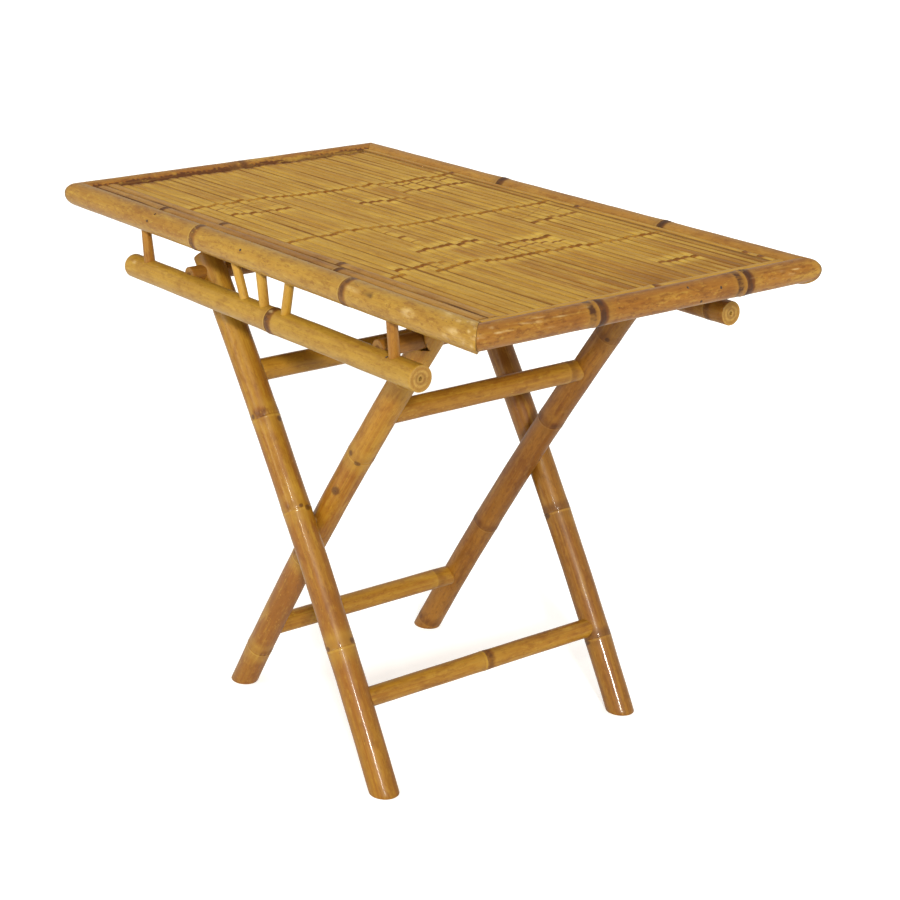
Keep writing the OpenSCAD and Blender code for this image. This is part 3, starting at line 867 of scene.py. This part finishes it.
batten_skin = skin(
    "batten_bamboo", gold=(0.33, 0.175, 0.035), brown=(0.21, 0.092, 0.016),
    pale=(0.42, 0.28, 0.07), shift=13.0, band=(0.12, 0.045, 0.010), streak=0.8, gloss=0.15,
    gap=(0.2, 0.1, 0.02))
cut = flesh("cut_bamboo", pale=(0.46, 0.29, 0.075), dark=(0.15, 0.070, 0.016),
            rim=(0.22, 0.095, 0.018))
cut_dark = flesh("cut_bamboo_dark", pale=(0.30, 0.155, 0.038), dark=(0.11, 0.045, 0.011),
                 rim=(0.15, 0.055, 0.012))
cut_rail = flesh("cut_bamboo_rail", pale=(0.44, 0.265, 0.060), dark=(0.20, 0.085, 0.014),
                 rim=(0.30, 0.145, 0.024), rings=True)
raw = flesh("split_bamboo_inner", pale=(0.34, 0.20, 0.055), dark=(0.17, 0.078, 0.018),
            rim=(0.20, 0.09, 0.018))
# painted shade: a near-black copy of the split bamboo for the batten by the left culm, whose top
# shows through the gap by the slat ends
raw_shaded = flesh("split_bamboo_shaded", pale=(0.055, 0.024, 0.007),
                   dark=(0.022, 0.010, 0.004), rim=(0.03, 0.013, 0.005))
pin = pin_bamboo("pin_bamboo", light_color=(0.28, 0.145, 0.032), dark_color=(0.17, 0.075, 0.016))
nail = nail_metal("nail_metal")


# ---------------------------------------------------------------- frame culms
def mitre(sx, sy, keep):
    """Diagonal end plane at a corner; keep = 1 for the long culm, -1 for the short one."""
    angle = math.atan2(-sy, sx)
    normal = vector(math.cos(angle), math.sin(angle), 0)
    corner = vector(sx * HALF_LENGTH, sy * HALF_WIDTH, 0) * MM
    return End(bevel=0.7, point=corner - normal * 0.15 * MM * keep, normal=normal)


def glint_flecks(seed, start, end, low, high, count, length, width):
    """Small painted highlight spots scattered from start to end (m) and low to high (degrees)."""
    rng = random.Random(seed)
    return [(rng.uniform(start, end), rng.uniform(low, high) * DEG,
             length * rng.uniform(0.5, 1.6), width * rng.uniform(0.6, 1.5))
            for _ in range(count)]


def at_x(x):
    """Distance along a long culm at x."""
    return (x + HALF_LENGTH) * MM


def at_y(y):
    """Distance along a short culm at y."""
    return (y + HALF_WIDTH) * MM


def long_culm(side, sy, material, tone, **shape):
    curve = Line((-HALF_LENGTH, sy * LONG_Y, LONG_Z), (HALF_LENGTH, sy * LONG_Y, LONG_Z))
    cane(f"frame_culm_{side}", "table_top", "long_culm_bamboo", curve,
         Shape(curve.length, **shape), (mitre(-1, sy, 1), mitre(1, sy, 1)), [material, cut],
         tone=tone)


def short_culm(side, sx, shape, **options):
    curve = Line((sx * SHORT_X, -HALF_WIDTH, SHORT_Z), (sx * SHORT_X, HALF_WIDTH, SHORT_Z))
    cane(f"frame_culm_{side}", "table_top", "short_culm_bamboo", curve,
         Shape(curve.length, **shape), (mitre(sx, -1, -1), mitre(sx, 1, -1)),
         [short_skin, cut], **options)


def painted_gap_shade(s, angle):
    """Painted shade with a ragged edge on the side facing the slat ends, for the dark gap between
    them and this culm.
    """
    limit = 0.72 + 0.10 * np.sin(s * 655) + 0.06 * np.sin(s * 1490 + 1)
    limit = limit + 0.05 * np.sin(s * 212 + 2)
    amount = np.clip((angle - limit) / 0.12, 0, 1)
    return 1.7 * amount * (angle < 2.7) * (s > 30 * MM) * (s < (2 * HALF_WIDTH - 30) * MM)


# The front culm's glints are painted highlights towards its right end.
long_culm("front", -1, long_skin, tone=(0.55, 0.46, 0.28, 0.14, 0.02), radii=(17.7, 18.2),
          seed=11, rings=[(at_x(-139), 1.0), (at_x(226), 1.0)], ridge=0.40, swell=0.7, oval=0.010,
          scars=[(at_x(-246), 32 * DEG, -0.4, 2.6, 0.14), (at_x(-9), 56 * DEG, -0.4, 2.4, 0.13),
                 (at_x(-256), 75 * DEG, -0.3, 1.8, 0.10), (at_x(285), 0.9, 0.3, 9, 0.35)],
          glints=[(at_x(372), 66 * DEG, 14, 0.30), (at_x(464), 76 * DEG, 12, 0.32),
                  (at_x(252), 52 * DEG, 12, 0.24)]
          + glint_flecks(5, at_x(425), at_x(505), 0, 110, 26, 4.0, 0.14))
long_culm("back", 1, back_skin, tone=0.05, radii=(17.7, 17.9), seed=12,
          rings=[(at_x(-139), 1.25), (at_x(222), 1.25)], ridge=0.5, swell=0.8, oval=0.014)
short_culm("left", -1, dict(radii=(16.3, 16.4), rings=[(at_y(10), 0.55)], seed=13,
                            ridge=0.35, swell=0.5),
           tone=0.02, grain_shift=2, sides=72, step=4, shade=painted_gap_shade)
# The right culm's glints are painted highlights, pale spots near both ends.
short_culm("right", 1, dict(radii=(16.4, 16.5), rings=[(at_y(-97), 1.3), (at_y(148), 1.3)],
                            seed=14, ridge=0.45, swell=0.7, oval=0.016,
                            glints=glint_flecks(7, at_y(-282), at_y(-112), 35, 90, 18, 5.0, 0.07)
                            + glint_flecks(9, at_y(160), at_y(275), 35, 90, 9, 4.5, 0.07)),
           tone=(-0.18, -0.02, 0.0, 0.0, -0.10), grain_shift=4)


# ---------------------------------------------------------------- edge strips
def edge_strip(place_name, material, **strip):
    add_strips(f"edge_strip_{place_name}", [split_strip(top=735.4, **strip)],
               [material, raw])


edge_strip("front_outer", strip_skin, start=SLAT_X0, end=SLAT_X1, low=-248.0, high=-231.5,
           rings=[(-284, 0.7), (160, 0.8)], seed=21, tone=0.02, crown=1.5, tilt=0.2, mark=1.2)
edge_strip("front_inner", strip_skin, start=SLAT_X0, end=SLAT_X1, low=-230.6, high=-213.5,
           rings=[(-150, 0.6), (139, 0.7)], seed=22, tone=-0.10, crown=1.5, tilt=-0.2, mark=1.1)
edge_strip("back", edge_skin, start=SLAT_X0, end=SLAT_X1, low=239.2, high=INSIDE_Y,
           rings=[(-240, 0.9), (60, 0.9), (404, 0.9), (432, 0.9)], seed=23, tone=0.05,
           crown=0.9, mark=1.2)
edge_strip("right", edge_skin, axis="y", start=-INSIDE_Y, end=INSIDE_Y, low=462.0, high=474.7,
           rings=[(22, 1.0)], seed=24, tone=-0.10, crown=1.2, mark=1.3)

# ---------------------------------------------------------------- slats
# Neighbouring slats share rows of nodes: stain, ridge height, row as (x, y) by rising y
NODE_ROWS = [
    (0.90, 1.5, [(-263, -212), (-262, -91), (-242, -16), (-247, 72), (-236, 149), (-239, 240)]),
    (1.08, 0.9, [(-190, -184), (-179, -92)]),
    (0.84, 1.5, [(-4, -212), (-13, -102), (2, -10), (7, 92), (4, 240)]),
    (1.32, 0.9, [(-149, 4), (-137, 90)]),
    (1.38, 0.8, [(-177, 104), (-175, 219)]),
    (1.56, 1.0, [(138, -98), (135, 8)]),
    (1.56, 1.0, [(177, 5), (177, 103)]),
    (1.32, 1.2, [(208, -192), (204, -99)]),
    (0.96, 1.6, [(241, -212), (222, -173), (238, -134), (228, -75), (239, -24), (242, 35),
                 (245, 106), (247, 157), (252, 240)]),
    (1.20, 0.8, [(94, 132), (80, 224)]),
    (1.20, 0.8, [(374, 110), (376, 188)]),
    (1.32, 0.7, [(69, -72), (2, -52)])]
# Tone of every four slats in turn
BUNDLE_TONES = [0.00, 0.06, -0.05, 0.04, -0.02, 0.07, -0.06, 0.02, 0.05]


def slat_rings(y, i):
    """Rings of slat i, at least 24 mm apart."""
    rng = random.Random(900 + i)
    rings = []
    for stain, ridge, points in NODE_ROWS:
        xs, ys = zip(*points)
        if ys[0] <= y <= ys[-1]:
            x = float(np.interp(y, ys, xs)) + rng.uniform(-4.2, 4.2)
            if all(abs(x - ring[0]) > 24 for ring in rings):
                rings.append((x, ridge * rng.uniform(0.7, 1.25), stain * rng.uniform(0.4, 1.35)))
    return sorted(rings)


def slat(i):
    rng = random.Random(500 + i)
    low = SLAT_Y0 + i * SLAT_PITCH + 0.13 + rng.uniform(0.0, 0.20)
    high = SLAT_Y0 + (i + 1) * SLAT_PITCH - 0.13 - rng.uniform(0.0, 0.20)
    if rng.random() < 0.20:                      # now and then a wider gap
        high -= rng.uniform(0.4, 1.1)
    return split_strip(
        start=SLAT_X0 + rng.uniform(5.0, 15.0), end=SLAT_X1 - rng.uniform(0.0, 0.8),
        low=low, high=high, top=SLAT_TOP - 0.05, crown=rng.uniform(0.55, 1.2),
        tilt=rng.uniform(-0.40, 0.40), raised=rng.uniform(-0.45, 0.30),
        rings=slat_rings((low + high) / 2, i), seed=40 + i,
        tone=BUNDLE_TONES[i // 4] + rng.uniform(-0.09, 0.13),
        skew=rng.uniform(-1.5, 1.5), sway=0.25, dark_and_shaded_start=rng.uniform(9.0, 18.0),
        end_tone=0.55 * min(1.0, max(0.0, (low + 110) / 160.0)))


for k in range(5):
    add_strips(f"slat_set_{k + 1}",
               [slat(i) for i in range(FIRST_SLAT[k], FIRST_SLAT[k + 1])], [slat_skin, raw])

# ---------------------------------------------------------------- battens under the slats
BATTEN_X = 457.0
# Half round section, flat side up: offset in x, height
BATTEN_PROFILE = [(-13.9, 0.0), (-13.9, -3.6), (-12.6, -6.2), (-9.5, -9.2), (-5.2, -11.2),
                  (0, -11.8), (5.2, -11.2), (9.5, -9.2), (12.6, -6.2), (13.9, -3.6),
                  (13.9, 0.0), (0, 0.0)]


def batten(k, x):
    start, end = -INSIDE_Y, INSIDE_Y
    rings = np.array([-90 + 40 * k, 150 - 25 * k], float)
    places = {start, end, start + 0.8, end - 0.8, *np.arange(start, end, 12.0)}
    places.update(ring + o for ring in rings for o in (-6, -4, -2.5, -1.2, 0, 1.2, 2.5, 4, 6))
    places = sorted(places)
    width = len(BATTEN_PROFILE)
    verts, distances, edges, faces, indices = [], [], [], [], []
    for y in places:
        d = y - rings[np.argmin(np.abs(y - rings))]
        bulge = 0.7 * math.exp(-(d / 2.0) ** 2)
        swell = 1 + 0.02 * math.sin(y / 50.0 + k)
        taper = 0.96 if y in (start, end) else 1.0
        for j, (u, w) in enumerate(BATTEN_PROFILE):
            side_bulge = bulge if 1 <= j <= 9 else 0.0
            down = bulge if 1 < j < 9 else 0
            verts.append(((x + u * swell * taper + side_bulge * u / 14.0) * MM, y * MM,
                          (SLAT_BOTTOM - 0.03 + (w - down) * taper) * MM))
            edges.append(1.0 if j in (0, 10, 11) else 0.2)
        distances += [d] * width
    for r in range(len(places) - 1):
        a, b = r * width, (r + 1) * width
        for j in range(width):
            j2 = (j + 1) % width
            faces.append((a + j, a + j2, b + j2, b + j))
            indices.append(1 if j in (10, 11) else 0)
    faces.append(tuple(range(width - 1, -1, -1)))
    faces.append(tuple((len(places) - 1) * width + j for j in range(width)))
    indices += [1, 1]
    verts, distances, edges = np.array(verts), np.array(distances), np.array(edges)
    blank = np.zeros(len(verts))
    node = f"support_batten_{k + 1}"
    # the first batten, by the left culm, gets the painted shade material on its top and ends
    ob = add_mesh(f"{node}_split", verts, faces, [batten_skin, raw if k else raw_shaded],
                  indices, {
                      "grain": np.stack([verts[:, 1] + k, verts[:, 0] - x * MM, verts[:, 2]], -1),
                      "nd": distances,
                      "tone": np.full(len(verts), 0.06 * k - 0.05),
                      "edge": edges,
                      "rr": np.where(edges > 0.5, 0.7, 1.0),
                      "scar": blank,
                      "lite": blank,
                      "nstr": np.clip((40.0 - np.abs(distances)) / 16.0, 0, 1)})
    place(ob, "table_top", node)


third = 2 * BATTEN_X / 3
for k, x in enumerate((-BATTEN_X, -BATTEN_X + third, BATTEN_X - third, BATTEN_X)):
    batten(k, x)


# ---------------------------------------------------------------- apron rails, posts and fans
def rail_at(x):
    return (x + RAIL_HALF) * MM


def apron_rail(side, sy, material, tone, bevels, trim=(0, 0), **shape):
    """trim: how much shorter the rail is at each end."""
    curve = Line((-RAIL_HALF, sy * RAIL_Y, RAIL_Z), (RAIL_HALF, sy * RAIL_Y, RAIL_Z))
    cane(f"apron_rail_{side}", "table_top", "rail_bamboo", curve, Shape(curve.length, **shape),
         [End(bevel=bevel, bore=2.6, depth=6) for bevel in bevels], [material, cut_rail],
         start=trim[0] * MM, end=curve.length - trim[1] * MM, tone=tone)


# The front rail's glints are painted highlights, one near its left end and one near the middle.
apron_rail("front", -1, rail_skin, tone=(0.10, 0.06, -0.02, 0.02, 0.02), bevels=(3.2, 1.2),
           trim=(24, 8), radii=(17.3, 17.5), rings=[(rail_at(34), 1.2)], seed=31, ridge=0.5,
           swell=0.9, scars=[(rail_at(34) + 0.005, 68 * DEG, 1.2, 4, 0.22)],
           glints=[(rail_at(-324), 50 * DEG, 5, 0.16), (rail_at(40), 30 * DEG, 5, 0.14)])
apron_rail("back", 1, back_rail_skin, tone=-0.05, bevels=(1.2, 1.0), radii=(17.3, 17.0),
           rings=[(rail_at(-60), 1.1), (rail_at(334), 0.8)], seed=32, ridge=0.4, swell=0.8)

# Uprights from apron rail to long culm: node, x at the rail, x at the culm, side in Y,
# diameters at the bottom and top, ring places from the rail (mm), tone
UPRIGHTS = [
    ("apron_post_front_left", -299, -293, -1, 16.6, 13.0, [], 0.0),
    ("apron_post_front_right", 311, 315, -1, 16.0, 15.2, [], 0.02),
    ("apron_post_back_left", -311, -315, 1, 15.4, 14.8, [58], 0.0),
    ("apron_post_back_right", 299, 293, 1, 15.4, 13.0, [], 0.05),
    ("fan_strut_front_left", -34, -54, -1, 12.8, 13.2, [], 0.0),
    ("fan_strut_front_middle", 12, 15, -1, 13.6, 13.8, [66], -0.08),
    ("fan_strut_front_right", 58, 92, -1, 13.2, 13.0, [], 0.0),
    ("fan_strut_back_left", -58, -92, 1, 12.8, 13.0, [], 0.05),
    ("fan_strut_back_middle", -12, -15, 1, 13.4, 13.6, [30], 0.1),
    ("fan_strut_back_right", 34, 54, 1, 13.0, 12.8, [], 0.05)]
UPRIGHT_TRIM = 13.5 * MM                         # both ends stop inside the culms

for seed, (node, x0, x1, sy, bottom, top, places, tone) in enumerate(UPRIGHTS, 41):
    curve = Line((x0, sy * RAIL_Y, RAIL_Z), (x1, sy * LONG_Y, LONG_Z))
    shape = Shape(curve.length, (bottom / 2, top / 2), seed, ridge=0.35, swell=0.25, oval=0.03,
                  rings=[(at * MM, 0.9) for at in places])
    cane(node, "table_top", "strut_bamboo", curve, shape, (End(bevel=0.4), End(bevel=0.4)),
         [post_skin if "post" in node else strut_skin, cut], start=UPRIGHT_TRIM,
         end=curve.length - UPRIGHT_TRIM, sides=28, step=7, tone=tone, grain_shift=seed * 0.31)

# ---------------------------------------------------------------- axle bar and rest bar
for node, x, places, seed in (("axle_bar", AXLE_X, [-140, 60], 51),
                              ("rest_bar", REST_X, [-30, 150], 52)):
    curve = Line((x, -BAR_HALF, BAR_Z), (x, BAR_HALF, BAR_Z))
    shape = Shape(curve.length, (11.9, 11.9), seed, ridge=0.25, swell=0.1, oval=0.0, lump=0.2,
                  rings=[((y + BAR_HALF) * MM, 0.5) for y in places])
    cane(node, "table_top", "bar_bamboo", curve, shape, (End(bevel=0.6), End(bevel=0.6)),
         [bar_skin, cut_dark], sides=36, grain_shift=seed * 0.2)

# ---------------------------------------------------------------- legs
NOTCH_X = 180                                    # the cutter starts left of the leg
NOTCH_GAP = 12.6                                 # rest bar axis to ledge and to wall


def leg(node, curve, material, top_end, foot_bore, rings, scars, radii, seed, swell, **look):
    """rings: (height, strength); scars: (height, shift along the leg, angle, bump, length, width).
    Returns the object and the shape."""
    shape = Shape(curve.length, radii, seed, ridge=0.35, swell=swell, oval=0.008, lump=0.8,
                  rings=[(curve.at_z(z), strength) for z, strength in rings],
                  scars=[(curve.at_z(z) + shift * MM, *spot_at) for z, shift, *spot_at in scars])
    foot = End(bevel=0.9, bore=foot_bore, depth=26, point=vector(0, 0, 0),
               normal=vector(0, 0, -1))
    ob = tube(f"{node}_cane", curve, shape, (foot, top_end), [material, cut], step=14, **look)
    return ob, shape


def cut_notch(ob, y):
    """Notch for the rest bar: a level ledge below it and an upright wall on its +X side."""
    ledge, wall = BAR_Z - NOTCH_GAP, REST_X + NOTCH_GAP
    low = vector(NOTCH_X, y - 60, ledge) * MM
    high = vector(wall, y + 60, 760) * MM
    bm = bmesh.new()
    bmesh.ops.create_cube(bm, size=1.0)
    for v in bm.verts:
        v.co = Vector([low[i] if v.co[i] < 0 else high[i] for i in range(3)])
    cutter_mesh = bpy.data.meshes.new("cutter")
    bm.to_mesh(cutter_mesh)
    bm.free()
    cutter = link("cutter", cutter_mesh)
    modifier = ob.modifiers.new("notch", "BOOLEAN")
    modifier.operation = "DIFFERENCE"
    modifier.solver = "EXACT"
    modifier.object = cutter
    bpy.context.view_layer.update()
    evaluated = ob.evaluated_get(bpy.context.evaluated_depsgraph_get())
    mesh = bpy.data.meshes.new_from_object(evaluated)
    ob.modifiers.clear()
    ob.data = mesh
    bpy.data.objects.remove(cutter)
    for face in mesh.polygons:
        on_ledge = abs(face.center.z - ledge * MM) < 2e-5 and abs(face.normal.z) > 0.99
        on_wall = abs(face.center.x - wall * MM) < 2e-5 and abs(face.normal.x) > 0.99
        if on_ledge or on_wall:
            face.material_index = 1
            face.use_smooth = False


OUTER_LOOK = {
    "front": dict(
        material=leg_front_outer_skin, radii=(20.6, 20.2),
        tone=(0.20, 0.36, 0.40, 0.25, 0.0, -0.06), dull=(0.85, 0.30, 0.0, 0.0, 0.35, 0.6, 0.7),
        rings=[(469, 1.0), (353, 0.8), (181, 1.0), (602, 0.7)],
        scars=[(474, 0, -84 * DEG, 0.4, 4, 0.18), (352, 0, 18 * DEG, 0.4, 4.5, 0.26),
               (356, 0, -10 * DEG, 0.3, 3, 0.16), (184, 0, -88 * DEG, 0.4, 4, 0.20),
               (60, 0, -20 * DEG, 0.2, 2.5, 0.10), (463, 0, 30 * DEG, 0.3, 4.5, 0.30),
               (186, 0, 28 * DEG, 0.3, 4.5, 0.26)]),
    "back": dict(
        material=leg_back_outer_skin, radii=(20.3, 20.3),
        # painted shade: the tone rises to 0.65 and 1.4 at the top, darkening the leg's upper part
        # as if shaded by the table top
        tone=(0.0, 0.10, 0.25, 0.20, 0.65, 1.4), dull=(0.0, 0.0, 0.0, 0.3, 0.8, 0.9),
        rings=[(270, 1.1), (98, 1.0), (446, 0.9), (600, 0.7)],
        scars=[(268, 0, -95 * DEG, 0.4, 5, 0.4), (96, 0, -100 * DEG, 0.4, 4, 0.4)])}
INNER_LOOK = {
    "front": dict(
        material=leg_front_inner_skin, tone=(0.72, 0.66, 0.40, -0.05, -0.08),
        rings=[(457, 1.0), (262, 1.0), (73, 0.9), (590, 0.6)],
        scars=[(401, 0, 1.95, 1.0, 8.5, 0.34), (457, 0, 2.35, 0.5, 4.5, 0.24),
               (463, 0, 1.55, 0.4, 5, 0.20), (262, 4, 2.3, 0.5, 5, 0.25)]),
    "back": dict(
        material=leg_back_inner_skin, tone=(-0.45, 0.05, 0.52, 0.35, -0.40),
        rings=[(433, 1.0), (226, 1.1), (14, 0.6), (590, 0.6)],
        scars=[(595, 0, 2.3, 0.5, 4, 0.20)])}

for side, sy in SIDES:
    node = f"outer_leg_{side}"
    ob, _ = leg(node, Arc(**OUTER_LEG, y=sy * OUTER_Y), seed=61 + sy, swell=0.7, foot_bore=11,
                top_end=End(bevel=1.2, bore=9, depth=14), grain_shift=sy * 1.7,
                **OUTER_LOOK[side])
    place(ob, "outer_frame", node)

    node = f"inner_leg_{side}"
    curve = Arc(**INNER_LEG, y=sy * INNER_Y)
    grain_shift = sy * 2.9 + 11
    ob, shape = leg(node, curve, seed=71 + sy, swell=0.6, foot_bore=10, top_end=End(bevel=1.0),
                    radii=(19.6, 19.3), grain_shift=grain_shift, **INNER_LOOK[side])
    cut_notch(ob, sy * INNER_Y)
    # the notch adds vertices, so the attributes are written again
    paint(ob, curve, shape, INNER_LOOK[side]["tone"], grain_shift)
    place(ob, "inner_frame", node)

# ---------------------------------------------------------------- stretchers
# Per frame: leg curve, leg plane y, nominal leg radius
FRAMES = {"outer": (Arc(**OUTER_LEG, y=0), OUTER_Y, 20.5),
          "inner": (Arc(**INNER_LEG, y=0), INNER_Y, 19.5)}
# frame, level, height z, diameter, ring place y, ring strength, tone
# the outer upper stretcher's tone of -0.45 is painted light: it is lighter as if more of it were
# sunlit
STRETCHERS = [("outer", "upper", 528, 32, 60, 0.8, -0.45),
              ("outer", "lower", 115, 29, 3, 1.0, -0.04),
              ("inner", "upper", 528, 31, 138, 0.45, 0.02),
              ("inner", "lower", 115, 31, 128, 0.40, 0.04)]

for seed, (part, level, z, diameter, ring_y, strength, tone) in enumerate(STRETCHERS, 81):
    leg_curve, leg_y, leg_radius = FRAMES[part]
    x = float(leg_curve.frame(np.array([leg_curve.at_z(z)]))[0][0][0]) / MM
    half = leg_y - leg_radius + 6.0              # reaches 6 mm into the legs
    curve = Line((x, -half, z), (x, half, z))
    shape = Shape(curve.length, (diameter / 2 - 0.1, diameter / 2 - 0.2), seed, ridge=0.4,
                  swell=0.6, rings=[((ring_y + half) * MM, strength)])
    cane(f"{part}_stretcher_{level}", f"{part}_frame", "stretcher_bamboo", curve, shape,
         (End(bevel=0.6), End(bevel=0.6)), [stretcher_skin, cut], sides=40, tone=tone,
         grain_shift=seed * 0.41)

# ---------------------------------------------------------------- nail heads
NAIL_SIDES = 16
# Radius, height above the culm surface
NAIL_PROFILE = [(0.9, 0.66), (1.6, 0.40), (1.9, 0.05), (1.9, -0.7), (0.9, -0.8), (0.8, -6.0)]
NAIL_TOP, NAIL_TIP = 0.75, 6.6


def nail_heads(name, spots):
    """spots: point on the surface (mm) and outward direction."""
    verts, faces = [], []
    m = NAIL_SIDES
    for point, normal in spots:
        point, normal = np.array(point, float), np.array(normal, float)
        normal /= np.linalg.norm(normal)
        u = np.cross(normal, vector(0.3, 0.2, 0.93))
        u /= np.linalg.norm(u)
        w = np.cross(normal, u)
        top = len(verts)
        verts.append(point + normal * NAIL_TOP)
        for radius, height in NAIL_PROFILE:
            for k in range(m):
                a = 2 * PI * k / m
                verts.append(point + normal * height
                             + radius * (math.cos(a) * u + math.sin(a) * w))
        tip = len(verts)
        verts.append(point - normal * NAIL_TIP)
        for k in range(m):
            k2 = (k + 1) % m
            faces.append((top, top + 1 + k, top + 1 + k2))
            for q in range(len(NAIL_PROFILE) - 1):
                o = top + 1 + q * m
                faces.append((o + k, o + m + k, o + m + k2, o + k2))
            o = tip - m
            faces.append((o + k, tip, o + k2))
    place(add_mesh(name, np.array(verts) * MM, faces, [nail]), "table_top")


def right_spot(y, radius, degrees):
    """Spot on the right frame culm, degrees up from outward."""
    a = math.radians(degrees)
    normal = (math.cos(a), 0, math.sin(a))
    return (SHORT_X + radius * normal[0], y, SHORT_Z + radius * normal[2]), normal


def front_spot(x, centre_y, centre_z, radius, degrees):
    """Spot on a front culm, degrees up from outward."""
    a = math.radians(degrees)
    normal = (0, -math.cos(a), math.sin(a))
    return (x, centre_y + radius * normal[1], centre_z + radius * normal[2]), normal


nail_heads("frame_nail_heads", [
    right_spot(51, 16.4, 48), right_spot(104, 16.5, 18), right_spot(72, 16.5, -30),
    front_spot(-246, -LONG_Y, LONG_Z, 18.0, 58), front_spot(-256, -LONG_Y, LONG_Z, 18.0, 15),
    front_spot(-9, -LONG_Y, LONG_Z, 18.0, 34),
    front_spot(-300, -RAIL_Y, RAIL_Z, 17.4, 75), front_spot(305, -RAIL_Y, RAIL_Z, 17.6, 60)])

# ---------------------------------------------------------------- CAD nodes that stay visible
for node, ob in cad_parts.items():
    if ob.hide_render:
        continue
    is_nail = "nails" in node
    ob.data.materials.clear()
    ob.data.materials.append(nail if is_nail else pin)


# ---------------------------------------------------------------- stage
def floor_white():
    """White floor, brightened for the camera and clear when seen from below."""
    g = Graph("floor_white")
    clouds = g.noise(g.object_coords(), (0.7, 0.7, 0.7), detail=2, rough=0.5)
    col = g.mix(g.rise(clouds, 0.3, 0.7), (0.90, 0.90, 0.895), (0.93, 0.93, 0.925))
    from_camera = g.node("ShaderNodeLightPath").outputs["Is Camera Ray"]
    glow = g.node("ShaderNodeEmission")
    glow.inputs[0].default_value = (1, 1, 1, 1)
    g.put(glow.inputs[1], g.times(from_camera, 0.42))
    diffuse = g.node("ShaderNodeBsdfDiffuse")
    g.put(diffuse.inputs[0], col)
    lit = g.node("ShaderNodeAddShader")
    g.put(lit.inputs[0], diffuse.outputs[0])
    g.put(lit.inputs[1], glow.outputs[0])
    below = g.node("ShaderNodeNewGeometry").outputs["Backfacing"]
    choose = g.node("ShaderNodeMixShader")
    g.put(choose.inputs[0], g.times(below, from_camera))
    g.put(choose.inputs[1], lit.outputs[0])
    g.put(choose.inputs[2], g.node("ShaderNodeBsdfTransparent").outputs[0])
    g.put(g.node("ShaderNodeOutputMaterial").inputs[0], choose.outputs[0])
    return g.mat


FLOOR_HALF, FLOOR_Z = 40.0, -0.0004              # metres
floor_mesh = bpy.data.meshes.new("floor")
floor_mesh.from_pydata([(x * FLOOR_HALF, y * FLOOR_HALF, FLOOR_Z)
                        for x, y in ((-1, -1), (1, -1), (1, 1), (-1, 1))], [], [(0, 1, 2, 3)])
floor_mesh.materials.append(floor_white())
link("floor", floor_mesh)

world = bpy.data.worlds.new("studio")
bpy.context.scene.world = world
world.use_nodes = True
tree = world.node_tree
ambient = tree.nodes["Background"]
ambient.inputs[0].default_value = (1.0, 0.965, 0.90, 1)
ambient.inputs[1].default_value = 0.66
backdrop = tree.nodes.new("ShaderNodeBackground")    # what the camera sees past the floor
backdrop.inputs[0].default_value = (1.0, 1.0, 1.0, 1)
backdrop.inputs[1].default_value = 1.0
pick = tree.nodes.new("ShaderNodeMixShader")
light_path = tree.nodes.new("ShaderNodeLightPath")
tree.links.new(light_path.outputs["Is Camera Ray"], pick.inputs[0])
tree.links.new(ambient.outputs[0], pick.inputs[1])
tree.links.new(backdrop.outputs[0], pick.inputs[2])
tree.links.new(pick.outputs[0], tree.nodes["World Output"].inputs[0])


def light(name, kind, location, target, **settings):
    data = bpy.data.lights.new(name, kind)
    for key, value in settings.items():
        setattr(data, key, value)
    ob = link(name, data)
    ob.location = location
    aim = Vector(target) - Vector(location)
    ob.rotation_euler = aim.to_track_quat("-Z", "Y").to_euler()
    return ob


light("key", "SUN", location=(3.200, -1.848, 1.932), target=(0, 0, 0.4), energy=2.45,
      angle=math.radians(5), color=(1.0, 0.955, 0.87))
light("glint", "SUN", location=(2.430, -2.470, 2.560), target=(0, 0, 0.4), energy=0.27,
      angle=math.radians(3), color=(1.0, 0.97, 0.91))
light("fill_left", "AREA", location=(-0.6, -3.4, 1.7), target=(0, 0, 0.5), energy=34,
      size=1.8, color=(1.0, 0.975, 0.92))
fill_back = light("fill_back", "AREA", location=(-1.6, 3.4, 1.1), target=(0, 0, 0.45),
                  energy=22, size=2.2, color=(1.0, 0.975, 0.92))
fill_back.visible_glossy = False

camera_data = bpy.data.cameras.new("camera")
camera_data.sensor_width = 36.0
camera_data.sensor_fit = "HORIZONTAL"
camera_data.lens = 85.0236
camera_data.clip_end = 100
camera = link("camera", camera_data)
camera.matrix_world = Matrix((
    (0.60243272, 0.79816747, 0.00187207, 0),     # right
    (-0.26097443, 0.194758, 0.94549546, 0),      # up
    (0.75429912, -0.57008596, 0.32562989, 0),    # backwards
    (2.3635818, -1.7241982, 1.4023334, 1),       # position
)).transposed()
scene = bpy.context.scene
scene.camera = camera
scene.view_settings.view_transform = "Standard"
scene.view_settings.look = "None"
scene.view_settings.exposure = 0.0
